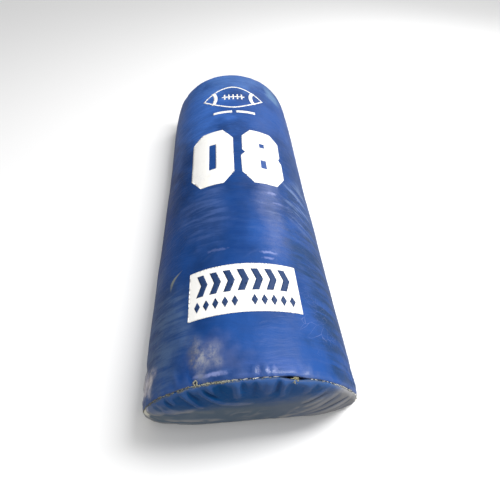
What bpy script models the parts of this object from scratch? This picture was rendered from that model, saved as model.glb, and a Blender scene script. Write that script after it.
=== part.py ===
"""A half-round tackling bag: a vinyl cover over shaped foam, lying on its flat zipped back.

Metres, +Z up. The bag lies along Y with its foot end at -Y, and its back rests on Z = 0.
"""

import math

import bmesh
import bpy
from mathutils import Matrix, Vector

# Whole bag
BODY_LENGTH = 1.219
BODY_WIDTH = 0.457
BODY_HEIGHT = 0.229
LONG_EDGE_RADIUS = 0.014

# Cover panels and their seams
VINYL = 0.001
SEAT_GAP = 0.0003
SEAM_SETBACK = 0.007
SEAM_DIP = 0.003
SEAM_ALLOWANCE = 0.005
LONG_SEAM_DIP = 0.0015
LONG_SEAM_ROLL = 0.005
LONG_SEAM_GAP = 0.0009
COVER_ROLL = 0.008
CAP_RIM = 0.009

# Loose corners of cover, where three panels are sewn together
EAR_OUT = 0.012
EAR_REACH = 0.045
EAR_HEIGHT = 0.040

# Foam
WRAP_THICKNESS = 0.030
BACK_PAD_TOP = 0.030
END_DISC_THICKNESS = 0.030
FOAM_CHAMFER_WIDTH = 0.010
FOAM_CHAMFER_TOP = 0.016

# Zipper chain
CHAIN_LENGTH = 0.762
CHAIN_CENTRE_Y = 0.0
CHAIN_THICKNESS = 0.003
TOOTH_PITCH = 0.0036
TOOTH_ROOT_WIDTH = 0.001
TOOTH_TIP_WIDTH = 0.002
BEAD_INNER = 0.0026
BEAD_WIDTH = 0.0016
TOOTH_TIP_GAP = 0.0004
TAPE_THICKNESS = 0.0006
TAPE_HALF_WIDTH = 0.016
TAPE_TAIL = 0.030
BEAD_TAIL = 0.003
TEETH_IN_A_GROUP = 8

# Zipper slider and its pull
RUNNING_GAP = 0.0003
FLOOR_GAP = 0.0012
PLATE_THICKNESS = 0.0013
SLIDER_LENGTH = 0.0150
SLIDER_MOUTH_WIDTH = 0.0126
SLIDER_SIDE_GAP = 0.0004
DIVIDER_LENGTH = 0.0050
DIVIDER_GAP = 0.0005
BRIDGE_THICKNESS = 0.0012
BRIDGE_WIDTH = 0.0026
BRIDGE_LENGTH = 0.0084
PULL_BAR_DIAMETER = 0.0014
PULL_THICKNESS = 0.0012
PULL_LENGTH = 0.036
PULL_ARM_WIDTH = 0.0017
PULL_SIDE_GAP = 0.0008
PULL_GRIP_WIDTH = 0.0095
PULL_SLOT_LENGTH = 0.011
PULL_SLOT_WIDTH = 0.0034
STOP_LENGTH = 0.0045
STOP_WALL = 0.0011

# Trough that the zipper lies in
WINDOW_HALF_WIDTH = 0.0105
TROUGH_FLAT_HALF_WIDTH = 0.020
TROUGH_RAMP = 0.016
TROUGH_OVERRUN = 0.012
TROUGH_END_RAMP = 0.030
GROOVE_SIDE_GAP = 0.0013
GROOVE_WALL = 0.0015

# Back handles
HANDLE_X = 0.115
HANDLE_Y = 0.190
HANDLE_FLOOR_GAP = 0.0015
WEB_WIDTH = 0.038
WEB_THICKNESS = 0.0018
STRAP_LENGTH = 0.360
SLEEVE_LENGTH = 0.130
SLEEVE_WALL = 0.002
PATCH_SIDE = 0.055
PATCH_CORNER = 0.006
PATCH_OVERHANG = 0.006
RECESS_MARGIN = 0.003
RECESS_RAMP = 0.020

# How far a cutting form runs past what it cuts
OVERRUN = 0.002

# Edges sharper than this stay crisp
SMOOTH_ANGLE = math.radians(35)

# Smoothness of round stretches, in counts
ARCH_STEPS = 20
CORNER_STEPS = 2
ROUND_STEPS = 16
FILLET_STEPS = 3
CAP_BOTTOM_STEPS = 8

# Shares, chosen by hand
COVER_ROLL_SHARES = ((0.0, 1.0), (0.15, 0.42), (0.5, 0.1), (1.0, 0.0))
CAP_RIM_SHARES = ((1.0, 0.0), (0.72, 0.03), (0.32, 0.22), (0.09, 0.58), (0.0, 1.0))
EAR_ROW_SHARES = (0.3, 0.6, 1.0)
EAR_BACK_SHARE = 0.6
TOOTH_SHIFT_SHARES = {-1: 0.75, 1: 0.25}
SLIDER_PLAN_SHARES = ((-0.5, 0.41), (-0.45, 0.45), (0.1, 0.46), (0.36, 0.5), (0.46, 0.49), (0.5, 0.44))
DIVIDER_PLAN_SHARES = ((0.0, 0.25), (0.35, 0.9), (0.7, 1.0), (1.0, 0.6))
PULL_PLAN_SHARES = ((0.16, 0.72), (0.34, 0.62), (0.62, 0.94), (0.9, 1.0), (0.97, 0.86), (1.0, 0.55))

# Sizes that follow from the ones above
HALF_LENGTH = BODY_LENGTH / 2
HALF_WIDTH = BODY_WIDTH / 2
LONG_SEAM_X = HALF_WIDTH - LONG_EDGE_RADIUS
CAP_SEAM_Y = HALF_LENGTH - SEAM_SETBACK
COVER_SEAM_Y = CAP_SEAM_Y - SEAT_GAP
STRAIGHT_Y = COVER_SEAM_Y - COVER_ROLL
SKIN = VINYL + SEAT_GAP
BEAD_OUTER = BEAD_INNER + BEAD_WIDTH
ZIP_PLANE = (
    FLOOR_GAP + BRIDGE_THICKNESS + PULL_BAR_DIAMETER + PLATE_THICKNESS + 3 * RUNNING_GAP + CHAIN_THICKNESS / 2
)
CHAIN_LOW = ZIP_PLANE - CHAIN_THICKNESS / 2
CHAIN_HIGH = ZIP_PLANE + CHAIN_THICKNESS / 2
TAPE_LOW = ZIP_PLANE - TAPE_THICKNESS / 2
TAPE_HIGH = ZIP_PLANE + TAPE_THICKNESS / 2
PLATE_LOW = CHAIN_LOW - RUNNING_GAP - PLATE_THICKNESS
PLATE_HIGH = CHAIN_HIGH + RUNNING_GAP + PLATE_THICKNESS
PULL_AXIS_Z = PLATE_LOW - RUNNING_GAP - PULL_BAR_DIAMETER / 2
TROUGH_DEPTH = TAPE_LOW - SKIN
GROOVE_TOP = PLATE_HIGH + SEAT_GAP
TEETH = 2 * (int(CHAIN_LENGTH / TOOTH_PITCH) // 2)
CHAIN_START = CHAIN_CENTRE_Y - TEETH * TOOTH_PITCH / 2
CHAIN_END = CHAIN_CENTRE_Y + TEETH * TOOTH_PITCH / 2
SLIDER_FRONT = CHAIN_END + TOOTH_PITCH / 2 + DIVIDER_GAP + DIVIDER_LENGTH
SLIDER_Y = SLIDER_FRONT - SLIDER_LENGTH / 2
BAND_START = CHAIN_START - TAPE_TAIL
BAND_END = SLIDER_FRONT + TAPE_TAIL
BEAD_START = CHAIN_START - RUNNING_GAP - STOP_LENGTH - BEAD_TAIL
BEAD_END = SLIDER_FRONT + RUNNING_GAP + STOP_LENGTH + BEAD_TAIL
WINDOW_START = CHAIN_START - RUNNING_GAP - STOP_LENGTH - TROUGH_OVERRUN
WINDOW_END = SLIDER_FRONT + RUNNING_GAP + STOP_LENGTH + TROUGH_OVERRUN
WINDOW_CENTRE_Y = (WINDOW_START + WINDOW_END) / 2
TROUGH_HALF_LENGTH = (BAND_END - BAND_START) / 2 + RECESS_MARGIN
SLEEVE_HEIGHT = WEB_THICKNESS + 2 * SEAT_GAP + 2 * SLEEVE_WALL
SLEEVE_WIDTH = WEB_WIDTH + 2 * SEAT_GAP + 2 * SLEEVE_WALL
STRAP_Z = HANDLE_FLOOR_GAP + SLEEVE_HEIGHT / 2
RECESS_DEPTH = HANDLE_FLOOR_GAP + SLEEVE_HEIGHT + SEAT_GAP
PATCH_Y = STRAP_LENGTH / 2 + PATCH_OVERHANG - PATCH_SIDE / 2
RECESS_HALF_WIDTH = PATCH_SIDE / 2 + RECESS_MARGIN
RECESS_HALF_LENGTH = STRAP_LENGTH / 2 + PATCH_OVERHANG + RECESS_MARGIN
LOG_HALF_LENGTH = HALF_LENGTH - SKIN - END_DISC_THICKNESS - SEAT_GAP


def clear_scene():
    """Removes every object that the file starts with."""
    for old in list(bpy.data.objects):
        bpy.data.objects.remove(old, do_unlink=True)


def material(name, colour, roughness, metallic=0.0):
    """A Principled material of one colour."""
    made = bpy.data.materials.new(name)
    made.use_nodes = True
    shader = made.node_tree.nodes["Principled BSDF"]
    shader.inputs["Base Color"].default_value = (*colour, 1.0)
    shader.inputs["Roughness"].default_value = roughness
    shader.inputs["Metallic"].default_value = metallic
    return made


def make_materials():
    """One material for each finish of the bag."""
    return {
        "cover_vinyl": material("cover_vinyl", (0.028, 0.085, 0.32), 0.38),
        "back_vinyl": material("back_vinyl", (0.024, 0.07, 0.27), 0.45),
        "soft_foam": material("soft_foam", (0.86, 0.83, 0.72), 0.95),
        "rebond_foam": material("rebond_foam", (0.45, 0.5, 0.55), 0.95),
        "zipper_tape": material("zipper_tape", (0.015, 0.016, 0.02), 0.8),
        "zipper_metal": material("zipper_metal", (0.62, 0.6, 0.56), 0.32, 1.0),
        "webbing": material("webbing", (0.012, 0.012, 0.014), 0.75),
        "handle_vinyl": material("handle_vinyl", (0.02, 0.06, 0.24), 0.5),
    }


def add_object(name, work, finish):
    """Puts a shape into the scene as a named object with one material."""
    mesh = bpy.data.meshes.new(name)
    work.to_mesh(mesh)
    work.free()
    mesh.materials.append(finish)
    mesh.shade_smooth()
    mesh.set_sharp_from_angle(angle=SMOOTH_ANGLE)
    made = bpy.data.objects.new(name, mesh)
    bpy.context.scene.collection.objects.link(made)
    return made


def add_solid(name, faces, finish):
    """Puts a closed solid into the scene, made from its faces, which are turned outwards."""
    work = shape_of(faces)
    bmesh.ops.recalc_face_normals(work, faces=work.faces[:])
    return add_object(name, work, finish)


def shape_of(faces):
    """A shape from lists of corner points; corners at the same place are shared."""
    work = bmesh.new()
    corners = {}
    for face in faces:
        loop = []
        for point in face:
            key = tuple(round(value, 8) for value in point)
            if key not in corners:
                corners[key] = work.verts.new(point)
            if corners[key] not in loop:
                loop.append(corners[key])
        if len(loop) > 2:
            work.faces.new(loop)
    return work


def grid_faces(rows, closed_columns=False):
    """The triangles between rows of points that all have the same count."""
    faces = []
    count = len(rows[0])
    last = count if closed_columns else count - 1
    for lower, upper in zip(rows, rows[1:]):
        for i in range(last):
            j = (i + 1) % count
            faces.append((lower[i], lower[j], upper[j]))
            faces.append((lower[i], upper[j], upper[i]))
    return faces


def ramp(value, flat, run):
    """1 within flat of zero, falling to 0 over run."""
    return min(1.0, max(0.0, (flat + run - abs(value)) / run))


def ear_shift(x, z, fullness):
    """How far a loose corner of the cover stands out sideways at this place."""
    height = max(0.0, 1.0 - z / EAR_HEIGHT)
    start = EAR_BACK_SHARE * LONG_SEAM_X
    side = min(1.0, max(0.0, (abs(x) - start) / (LONG_SEAM_X - start)))
    return math.copysign(EAR_OUT * fullness * height**2 * side**2, x)


def ear_fullness(y):
    """The ears' growth towards the end seams, from 0 to 1."""
    distance = COVER_SEAM_Y - abs(y)
    return max(0.0, 1.0 - distance / EAR_REACH) ** 2


def arch_points(inset, first_x):
    """The half-round outline from its left long seam over the top to its right one."""
    centre = LONG_SEAM_X
    corner = LONG_EDGE_RADIUS - inset
    points = [(-first_x, inset)]
    for i in range(1, CORNER_STEPS + 1):
        turn = math.pi * 1.5 - math.pi / 2 * i / CORNER_STEPS
        points.append((-centre + corner * math.cos(turn), LONG_EDGE_RADIUS + corner * math.sin(turn)))
    points += dome_points(inset)[1:-1]
    mirrored = [(-x, z) for x, z in points[: CORNER_STEPS + 1]]
    return points + mirrored[::-1]


def dome_points(inset):
    """The elliptical part of the outline, from its left end to its right one."""
    wide = HALF_WIDTH - inset
    high = BODY_HEIGHT - LONG_EDGE_RADIUS - inset
    points = []
    for i in range(ARCH_STEPS + 1):
        turn = math.pi - math.pi * i / ARCH_STEPS
        points.append((wide * math.cos(turn), LONG_EDGE_RADIUS + high * math.sin(turn)))
    return points


def dome_above(inset, base):
    """The elliptical part that lies above a height, ending exactly on it."""
    points = dome_points(inset)
    half = points[: ARCH_STEPS // 2 + 1]
    above = [point for point in half if point[1] > base]
    low = half[len(half) - len(above) - 1]
    share = (base - low[1]) / (above[0][1] - low[1])
    start = (low[0] + share * (above[0][0] - low[0]), base)
    left = [start] + above
    return left + [(-x, z) for x, z in left[:-1][::-1]]


def placed(points, y, fullness):
    """Outline points set at a place along the bag, with the ears pulled out."""
    return [Vector((x + ear_shift(x, z, fullness), y, z)) for x, z in points]


def end_rows(side):
    """Place along the bag, inset and ear fullness of the cover rows at one end, seam first."""
    rows = []
    for along, deep in COVER_ROLL_SHARES:
        y = COVER_SEAM_Y - along * COVER_ROLL
        rows.append((side * y, SEAM_DIP * deep, ear_fullness(y)))
    for share in EAR_ROW_SHARES:
        y = STRAIGHT_Y - share * (EAR_REACH - COVER_ROLL)
        rows.append((side * y, 0.0, ear_fullness(y)))
    return rows


def cover_rows():
    """All rows of the front cover from the foot seam to the head seam."""
    return end_rows(-1) + end_rows(1)[::-1]


def solidify(made):
    """Gives a panel its thickness, inwards."""
    wall = made.modifiers.new("wall", "SOLIDIFY")
    wall.thickness = VINYL
    wall.offset = -1.0
    wall.use_even_offset = True
    wall.use_quality_normals = True


def straight_rows(rows):
    """The rows without roll, where the long seams have their turned-in edge."""
    return [row for row in rows if abs(row[0]) <= STRAIGHT_Y + SEAT_GAP / 2]


def make_front_cover(finish):
    """The half-round panel that wraps the front, with turned-in edges at all four seams."""
    first_x = LONG_SEAM_X + LONG_SEAM_GAP / 2
    rows = []
    for y, inset, fullness in cover_rows():
        row = placed(arch_points(inset, first_x), y, fullness)
        if inset == 0.0:
            row[0].z += LONG_SEAM_DIP
            row[-1].z += LONG_SEAM_DIP
        rows.append(row)
    flange = [
        placed(arch_points(SEAM_DIP + SEAM_ALLOWANCE, first_x), side * COVER_SEAM_Y, 1.0) for side in (-1, 1)
    ]
    faces = grid_faces([flange[0]] + rows + [flange[1]])
    inner = straight_rows([(row[0].y, row) for row in rows])
    lift = Vector((0.0, 0.0, SEAM_ALLOWANCE))
    for column in (0, -1):
        edge = [row[column] for _, row in inner]
        turned = [point + lift for point in edge]
        strip = grid_faces([turned, edge] if column == 0 else [edge, turned])
        faces += [face[::-1] for face in strip]
    made = add_object("front_cover", shape_of(faces), finish)
    solidify(made)
    return made


def cap_loop(inset):
    """The closed half-round outline of an end panel."""
    step = 2 * LONG_SEAM_X / CAP_BOTTOM_STEPS
    bottom = [(LONG_SEAM_X - step * i, inset) for i in range(1, CAP_BOTTOM_STEPS)]
    return arch_points(inset, LONG_SEAM_X) + bottom


def make_end_cap(name, side, finish):
    """A half-round end panel with a rolled rim and its turned-in edge at the seam."""
    loops = [placed(cap_loop(SEAM_DIP + SEAM_ALLOWANCE), side * CAP_SEAM_Y, 1.0)]
    for along, deep in CAP_RIM_SHARES:
        y = HALF_LENGTH - SEAM_SETBACK * along
        loops.append(placed(cap_loop(SEAM_DIP + CAP_RIM * deep), side * y, (1.0 - deep) ** 2))
    faces = grid_faces(loops, closed_columns=True)
    faces.append(tuple(loops[-1]))
    if side < 0:
        faces = [face[::-1] for face in faces]
    made = add_object(name, shape_of(faces), finish)
    solidify(made)
    return made


def zip_ramp(x, y):
    """How fully the zipper trough is pressed in at this place, from 0 to 1."""
    across = ramp(x, TROUGH_FLAT_HALF_WIDTH, TROUGH_RAMP)
    return across * ramp(y - WINDOW_CENTRE_Y, TROUGH_HALF_LENGTH, TROUGH_END_RAMP)


def handle_ramp(x, y):
    """How fully a handle's recess is pressed in at this place, from 0 to 1."""
    across = ramp(abs(x) - HANDLE_X, RECESS_HALF_WIDTH, RECESS_RAMP)
    return across * ramp(y - HANDLE_Y, RECESS_HALF_LENGTH, RECESS_RAMP)


def back_height(x, y):
    """Height of the back panel's outer face above the ground."""
    return max(TROUGH_DEPTH * zip_ramp(x, y), RECESS_DEPTH * handle_ramp(x, y))


def back_columns(last_x):
    """Places across the back where its face bends, from left to right."""
    trough = [WINDOW_HALF_WIDTH, TROUGH_FLAT_HALF_WIDTH, TROUGH_FLAT_HALF_WIDTH + TROUGH_RAMP]
    inner = [HANDLE_X - RECESS_HALF_WIDTH - RECESS_RAMP, HANDLE_X - RECESS_HALF_WIDTH]
    outer = [HANDLE_X + RECESS_HALF_WIDTH, HANDLE_X + RECESS_HALF_WIDTH + RECESS_RAMP]
    roll = last_x - LONG_SEAM_ROLL
    right = sorted(trough + inner + outer + [(outer[-1] + roll) / 2, roll, last_x])
    return [-x for x in right[::-1]] + right


def back_breaks():
    """Places along the back where its face bends, between the straight rows of its ends."""
    ends = [
        WINDOW_CENTRE_Y - TROUGH_HALF_LENGTH - TROUGH_END_RAMP,
        WINDOW_CENTRE_Y - TROUGH_HALF_LENGTH,
        WINDOW_CENTRE_Y + TROUGH_HALF_LENGTH,
        WINDOW_CENTRE_Y + TROUGH_HALF_LENGTH + TROUGH_END_RAMP,
    ]
    recess = [HANDLE_Y - RECESS_HALF_LENGTH - RECESS_RAMP, HANDLE_Y - RECESS_HALF_LENGTH]
    recess += [HANDLE_Y + RECESS_HALF_LENGTH, HANDLE_Y + RECESS_HALF_LENGTH + RECESS_RAMP]
    return sorted(ends + recess)


def make_back_panel(finish):
    """The flat back panel with the zipper window, the pressed-in trough and the handle recesses."""
    columns = back_columns(LONG_SEAM_X - LONG_SEAM_GAP / 2)
    middle = [(y, 0.0, 0.0) for y in sorted(back_breaks() + [WINDOW_START, WINDOW_END])]
    plan = end_rows(-1) + middle + end_rows(1)[::-1]
    rows = []
    for y, inset, fullness in plan:
        row = placed([(x, inset) for x in columns], y, fullness)
        for point, x in zip(row, columns):
            point.z += back_height(x, y)
        if inset == 0.0:
            row[0].z += LONG_SEAM_DIP
            row[-1].z += LONG_SEAM_DIP
        rows.append(row)
    turned_in = [(x, SEAM_DIP + SEAM_ALLOWANCE) for x in columns]
    flange = [placed(turned_in, side * COVER_SEAM_Y, 1.0) for side in (-1, 1)]
    lift = Vector((0.0, 0.0, SEAM_ALLOWANCE))
    window = columns.index(-WINDOW_HALF_WIDTH)
    faces = []
    for number, (lower, upper) in enumerate(zip(rows, rows[1:])):
        in_window = plan[number][0] >= WINDOW_START and plan[number + 1][0] <= WINDOW_END
        for i, face in enumerate(grid_faces([lower, upper])):
            if not (in_window and i // 2 == window):
                faces.append(face[::-1])
    faces += [face[::-1] for face in grid_faces([flange[0], rows[0]]) + grid_faces([rows[-1], flange[1]])]
    inner = straight_rows([(row[0].y, row) for row in rows])
    for column in (0, -1):
        edge = [row[column] for _, row in inner]
        turned = [point + lift for point in edge]
        faces += grid_faces([turned, edge] if column == 0 else [edge, turned])
    made = add_object("back_panel", shape_of(faces), finish)
    solidify(made)
    return made


def prism(name, outline, start, length, axis, finish):
    """A closed solid: an outline pushed along one axis (0 is X, 1 is Y, 2 is Z)."""
    across = [i for i in range(3) if i != axis]
    loops = []
    for place in (start, start + length):
        loop = []
        for point in outline:
            spot = [0.0, 0.0, 0.0]
            spot[across[0]], spot[across[1]] = point
            spot[axis] = place
            loop.append(Vector(spot))
        loops.append(loop)
    faces = grid_faces(loops, closed_columns=True) + [tuple(loops[0]), tuple(loops[1])]
    return add_solid(name, faces, finish)


def make_core(finish):
    """The firm rebond foam log that the bag is built round."""
    base = BACK_PAD_TOP + SEAT_GAP
    outline = dome_above(SKIN + WRAP_THICKNESS + SEAT_GAP, base)
    return prism("rebond_core", outline, -LOG_HALF_LENGTH, 2 * LOG_HALF_LENGTH, 1, finish)


def make_wrap(finish):
    """The soft foam sheet that is glued round the front of the core."""
    base = BACK_PAD_TOP + SEAT_GAP
    outline = dome_above(SKIN, base) + dome_above(SKIN + WRAP_THICKNESS, base)[::-1]
    return prism("soft_foam_wrap", outline, -LOG_HALF_LENGTH, 2 * LOG_HALF_LENGTH, 1, finish)


def pad_height(x, y):
    """Height of the back pad's underside, clear of the back panel and of the zipper."""
    lift = (TAPE_THICKNESS + SEAT_GAP) * zip_ramp(x, y)
    height = back_height(x, y) + SKIN + lift
    slot = SLIDER_MOUTH_WIDTH / 2 + GROOVE_SIDE_GAP
    if abs(x) <= slot and abs(y - WINDOW_CENTRE_Y) <= TROUGH_HALF_LENGTH + SEAT_GAP:
        return GROOVE_TOP
    return height


def make_back_pad(finish):
    """The foam sheet behind the back panel, cut away over the zipper and the handles."""
    slot = SLIDER_MOUTH_WIDTH / 2 + GROOVE_SIDE_GAP
    inner = LONG_SEAM_X - FOAM_CHAMFER_WIDTH
    bends = [x for x in back_columns(inner) if abs(x) > WINDOW_HALF_WIDTH]
    columns = sorted(bends + [-slot - GROOVE_WALL, -slot, slot, slot + GROOVE_WALL])
    edge_x = HALF_WIDTH - SKIN
    top_x = dome_above(SKIN, BACK_PAD_TOP)[-1][0]
    rows = []
    for y in [-LOG_HALF_LENGTH] + back_breaks() + [LOG_HALF_LENGTH]:
        row = [Vector((-top_x, y, BACK_PAD_TOP)), Vector((-edge_x, y, FOAM_CHAMFER_TOP))]
        row += [Vector((x, y, pad_height(x, y))) for x in columns]
        row += [Vector((edge_x, y, FOAM_CHAMFER_TOP)), Vector((top_x, y, BACK_PAD_TOP))]
        rows.append(row)
    faces = grid_faces(rows)
    left = [row[0] for row in rows]
    right = [row[-1] for row in rows]
    faces.append(tuple(left + right[::-1]))
    faces.append(tuple(rows[0]))
    faces.append(tuple(rows[-1]))
    return add_solid("back_foam_pad", faces, finish)


def disc_loop(inset):
    """The outline of an end disc, with its lower corners cut off."""
    dome = dome_above(inset, LONG_EDGE_RADIUS + SEAT_GAP)
    left, right = dome[0][0], dome[-1][0]
    start = LONG_SEAM_X - FOAM_CHAMFER_WIDTH - inset
    dome[0] = (left, FOAM_CHAMFER_TOP + SEAT_GAP)
    dome[-1] = (right, FOAM_CHAMFER_TOP + SEAT_GAP)
    return dome + [(start, inset), (-start, inset)]


def make_end_disc(name, side, finish):
    """A half-round foam disc inside an end cap, cut back where the seam edges turn in."""
    neck = SEAM_DIP + SEAM_ALLOWANCE + VINYL
    back = COVER_SEAM_Y - VINYL - SEAT_GAP
    plan = (
        (HALF_LENGTH - SKIN, SEAM_DIP + CAP_RIM + VINYL),
        (CAP_SEAM_Y + VINYL, neck),
        (back, neck),
        (STRAIGHT_Y - SEAT_GAP, SKIN + SEAT_GAP),
        (HALF_LENGTH - SKIN - END_DISC_THICKNESS, SKIN + SEAT_GAP),
    )
    loops = [[Vector((x, side * y, z)) for x, z in disc_loop(inset)] for y, inset in plan]
    faces = grid_faces(loops, closed_columns=True) + [tuple(loops[0]), tuple(loops[-1])]
    return add_solid(name, faces, finish)


def tooth_faces(y, low, high):
    """Top, bottom and sides of one tooth that starts at the bead and widens to its tip."""
    tip = -(BEAD_INNER - TOOTH_TIP_GAP)
    half_root = TOOTH_ROOT_WIDTH / 2
    half_tip = TOOTH_TIP_WIDTH / 2
    plan = [(BEAD_INNER, y - half_root), (tip, y - half_tip)]
    plan += [(tip, y + half_tip), (BEAD_INNER, y + half_root)]
    bottom = [(x, spot, low) for x, spot in plan]
    top = [(x, spot, high) for x, spot in plan]
    sides = [(bottom[i], bottom[i + 1], top[i + 1], top[i]) for i in range(3)]
    return [tuple(bottom), tuple(top)] + sides


def band_faces(start, end, teeth):
    """One stretch of tape and bead, with the teeth whose places are given."""
    low, high = CHAIN_LOW, CHAIN_HIGH
    roots = [start]
    for y in teeth:
        roots += [y - TOOTH_ROOT_WIDTH / 2, y + TOOTH_ROOT_WIDTH / 2]
    roots.append(end)
    faces = []
    for z in (low, high):
        edge = [(BEAD_INNER, y, z) for y in roots]
        faces.append(tuple([(BEAD_OUTER, start, z)] + edge + [(BEAD_OUTER, end, z)]))
    for first, second in zip(roots[0::2], roots[1::2]):
        faces.append(bead_side(first, second))
    section = [(BEAD_OUTER, low), (BEAD_OUTER, TAPE_LOW), (TAPE_HALF_WIDTH, TAPE_LOW)]
    section += [(TAPE_HALF_WIDTH, TAPE_HIGH), (BEAD_OUTER, TAPE_HIGH), (BEAD_OUTER, high)]
    for (xa, za), (xb, zb) in zip(section, section[1:]):
        faces.append(((xa, start, za), (xb, start, zb), (xb, end, zb), (xa, end, za)))
    for y in teeth:
        faces += tooth_faces(y, low, high)
    return faces


def bead_side(first, second):
    """The inner face of the bead between two places, with the tape's corners where the bead ends."""
    corners = []
    for y, heights in ((first, 1), (second, -1)):
        levels = [CHAIN_LOW, CHAIN_HIGH]
        if y in (BEAD_START, BEAD_END):
            levels = [CHAIN_LOW, TAPE_LOW, TAPE_HIGH, CHAIN_HIGH]
        corners += [(BEAD_INNER, y, z) for z in levels[::heights]]
    return tuple(corners)


def tail_faces(end, bead):
    """The bare tape beyond the bead, from its cut end to where the bead starts."""
    faces = []
    for z, outer in ((TAPE_LOW, CHAIN_LOW), (TAPE_HIGH, CHAIN_HIGH)):
        edge = [(BEAD_INNER, bead), (BEAD_OUTER, bead), (TAPE_HALF_WIDTH, bead)]
        edge += [(TAPE_HALF_WIDTH, end), (BEAD_INNER, end)]
        faces.append(tuple((x, y, z) for x, y in edge))
        step = ((BEAD_INNER, z), (BEAD_OUTER, z), (BEAD_OUTER, outer), (BEAD_INNER, outer))
        faces.append(tuple((x, bead, level) for x, level in step))
    for x in (BEAD_INNER, TAPE_HALF_WIDTH):
        faces.append(((x, end, TAPE_LOW), (x, bead, TAPE_LOW), (x, bead, TAPE_HIGH), (x, end, TAPE_HIGH)))
    edge = [(BEAD_INNER, TAPE_LOW), (TAPE_HALF_WIDTH, TAPE_LOW)]
    edge += [(TAPE_HALF_WIDTH, TAPE_HIGH), (BEAD_INNER, TAPE_HIGH)]
    faces.append(tuple((x, end, z) for x, z in edge))
    return faces


def make_zipper_half(name, side, finish):
    """One tape of the zipper with its moulded teeth, which mesh with those of the other half."""
    shift = TOOTH_PITCH * TOOTH_SHIFT_SHARES[side]
    faces = tail_faces(BAND_START, BEAD_START) + tail_faces(BAND_END, BEAD_END)
    faces += band_faces(BEAD_START, CHAIN_START, [])
    place = CHAIN_START
    for first in range(0, TEETH, TEETH_IN_A_GROUP):
        count = min(TEETH_IN_A_GROUP, TEETH - first)
        teeth = [CHAIN_START + (first + i) * TOOTH_PITCH + shift for i in range(count)]
        end = CHAIN_START + (first + count) * TOOTH_PITCH
        faces += band_faces(place, end, teeth)
        place = end
    faces += band_faces(place, BEAD_END, [])
    turned = [tuple((side * x, y, z) for x, y, z in face) for face in faces]
    return add_solid(name, turned, finish)


def make_top_stop(name, side, finish):
    """A clip crimped round one bead, where the slider stops when the zipper is closed."""
    inner = BEAD_INNER - RUNNING_GAP
    outer = BEAD_OUTER + RUNNING_GAP
    low = CHAIN_LOW - RUNNING_GAP
    high = CHAIN_HIGH + RUNNING_GAP
    outline = [
        (inner - STOP_WALL, low - STOP_WALL),
        (outer + STOP_WALL, low - STOP_WALL),
        (outer + STOP_WALL, TAPE_LOW - RUNNING_GAP),
        (outer, TAPE_LOW - RUNNING_GAP),
        (outer, low),
        (inner, low),
        (inner, high),
        (outer, high),
        (outer, TAPE_HIGH + RUNNING_GAP),
        (outer + STOP_WALL, TAPE_HIGH + RUNNING_GAP),
        (outer + STOP_WALL, high + STOP_WALL),
        (inner - STOP_WALL, high + STOP_WALL),
    ]
    turned = [(side * x, z) for x, z in outline]
    return prism(name, turned, SLIDER_FRONT + RUNNING_GAP, STOP_LENGTH, 1, finish)


def make_bottom_stop(finish):
    """The block that ties both beads together where the zipper starts."""
    inner = BEAD_INNER - RUNNING_GAP
    outer = BEAD_OUTER + RUNNING_GAP + STOP_WALL
    low = CHAIN_LOW - RUNNING_GAP
    high = CHAIN_HIGH + RUNNING_GAP
    half = [(outer, low - STOP_WALL), (outer, low), (inner, low)]
    half += [(inner, high), (outer, high), (outer, high + STOP_WALL)]
    outline = half + [(-x, z) for x, z in half[::-1]]
    start = CHAIN_START - RUNNING_GAP - STOP_LENGTH
    return prism("zipper_bottom_stop", outline, start, STOP_LENGTH, 1, finish)


def join_form(target, form, operation):
    """Joins or cuts a hidden form, which stays as a wire guide."""
    form.hide_render = True
    form.display_type = "WIRE"
    step = target.modifiers.new(form.name, "BOOLEAN")
    step.operation = operation
    step.object = form
    step.solver = "EXACT"


def mirrored_plan(shares, length, half_width, start):
    """A plan outline that is alike on both sides of the middle."""
    right = [(share * half_width, start + along * length) for along, share in shares]
    return right + [(-x, y) for x, y in right[::-1]]


def slider_half(name, far, near, flange_end, finish):
    """One plate of the slider with its two side flanges, cut to the slider's plan outline.

    The plate's outer face lies at height far, its inner one at near, and its flanges end at flange_end.
    """
    half = SLIDER_MOUTH_WIDTH / 2 + OVERRUN
    rear = SLIDER_Y - SLIDER_LENGTH / 2 - OVERRUN
    inner = BEAD_OUTER + SLIDER_SIDE_GAP
    outline = [(-half, far), (half, far), (half, flange_end), (inner, flange_end)]
    outline += [(inner, near), (-inner, near), (-inner, flange_end), (-half, flange_end)]
    made = prism(name, outline, rear, SLIDER_LENGTH + 2 * OVERRUN, 1, finish)
    plan = mirrored_plan(SLIDER_PLAN_SHARES, SLIDER_LENGTH, SLIDER_MOUTH_WIDTH, SLIDER_Y)
    depth = abs(flange_end - far) + 2 * OVERRUN
    trim = prism(name + "_plan", plan, min(far, flange_end) - OVERRUN, depth, 2, finish)
    join_form(made, trim, "INTERSECT")
    return made


def make_slider(finish):
    """The slider: two flanged plates, the divider that joins them and the bridge for the pull."""
    made = slider_half("zipper_slider", PLATE_LOW, CHAIN_LOW - RUNNING_GAP, TAPE_LOW - RUNNING_GAP, finish)
    inner = slider_half(
        "slider_inner_plate", PLATE_HIGH, CHAIN_HIGH + RUNNING_GAP, TAPE_HIGH + RUNNING_GAP, finish
    )
    width = BEAD_INNER - SLIDER_SIDE_GAP
    start = SLIDER_FRONT - DIVIDER_LENGTH
    plan = mirrored_plan(DIVIDER_PLAN_SHARES, DIVIDER_LENGTH, width, start)
    low = PLATE_LOW + PLATE_THICKNESS / 2
    divider = prism("slider_divider", plan, low, PLATE_HIGH - PLATE_THICKNESS / 2 - low, 2, finish)
    bridge = make_bridge(finish)
    join_form(made, inner, "UNION")
    join_form(made, divider, "UNION")
    join_form(made, bridge, "UNION")
    return made


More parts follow.
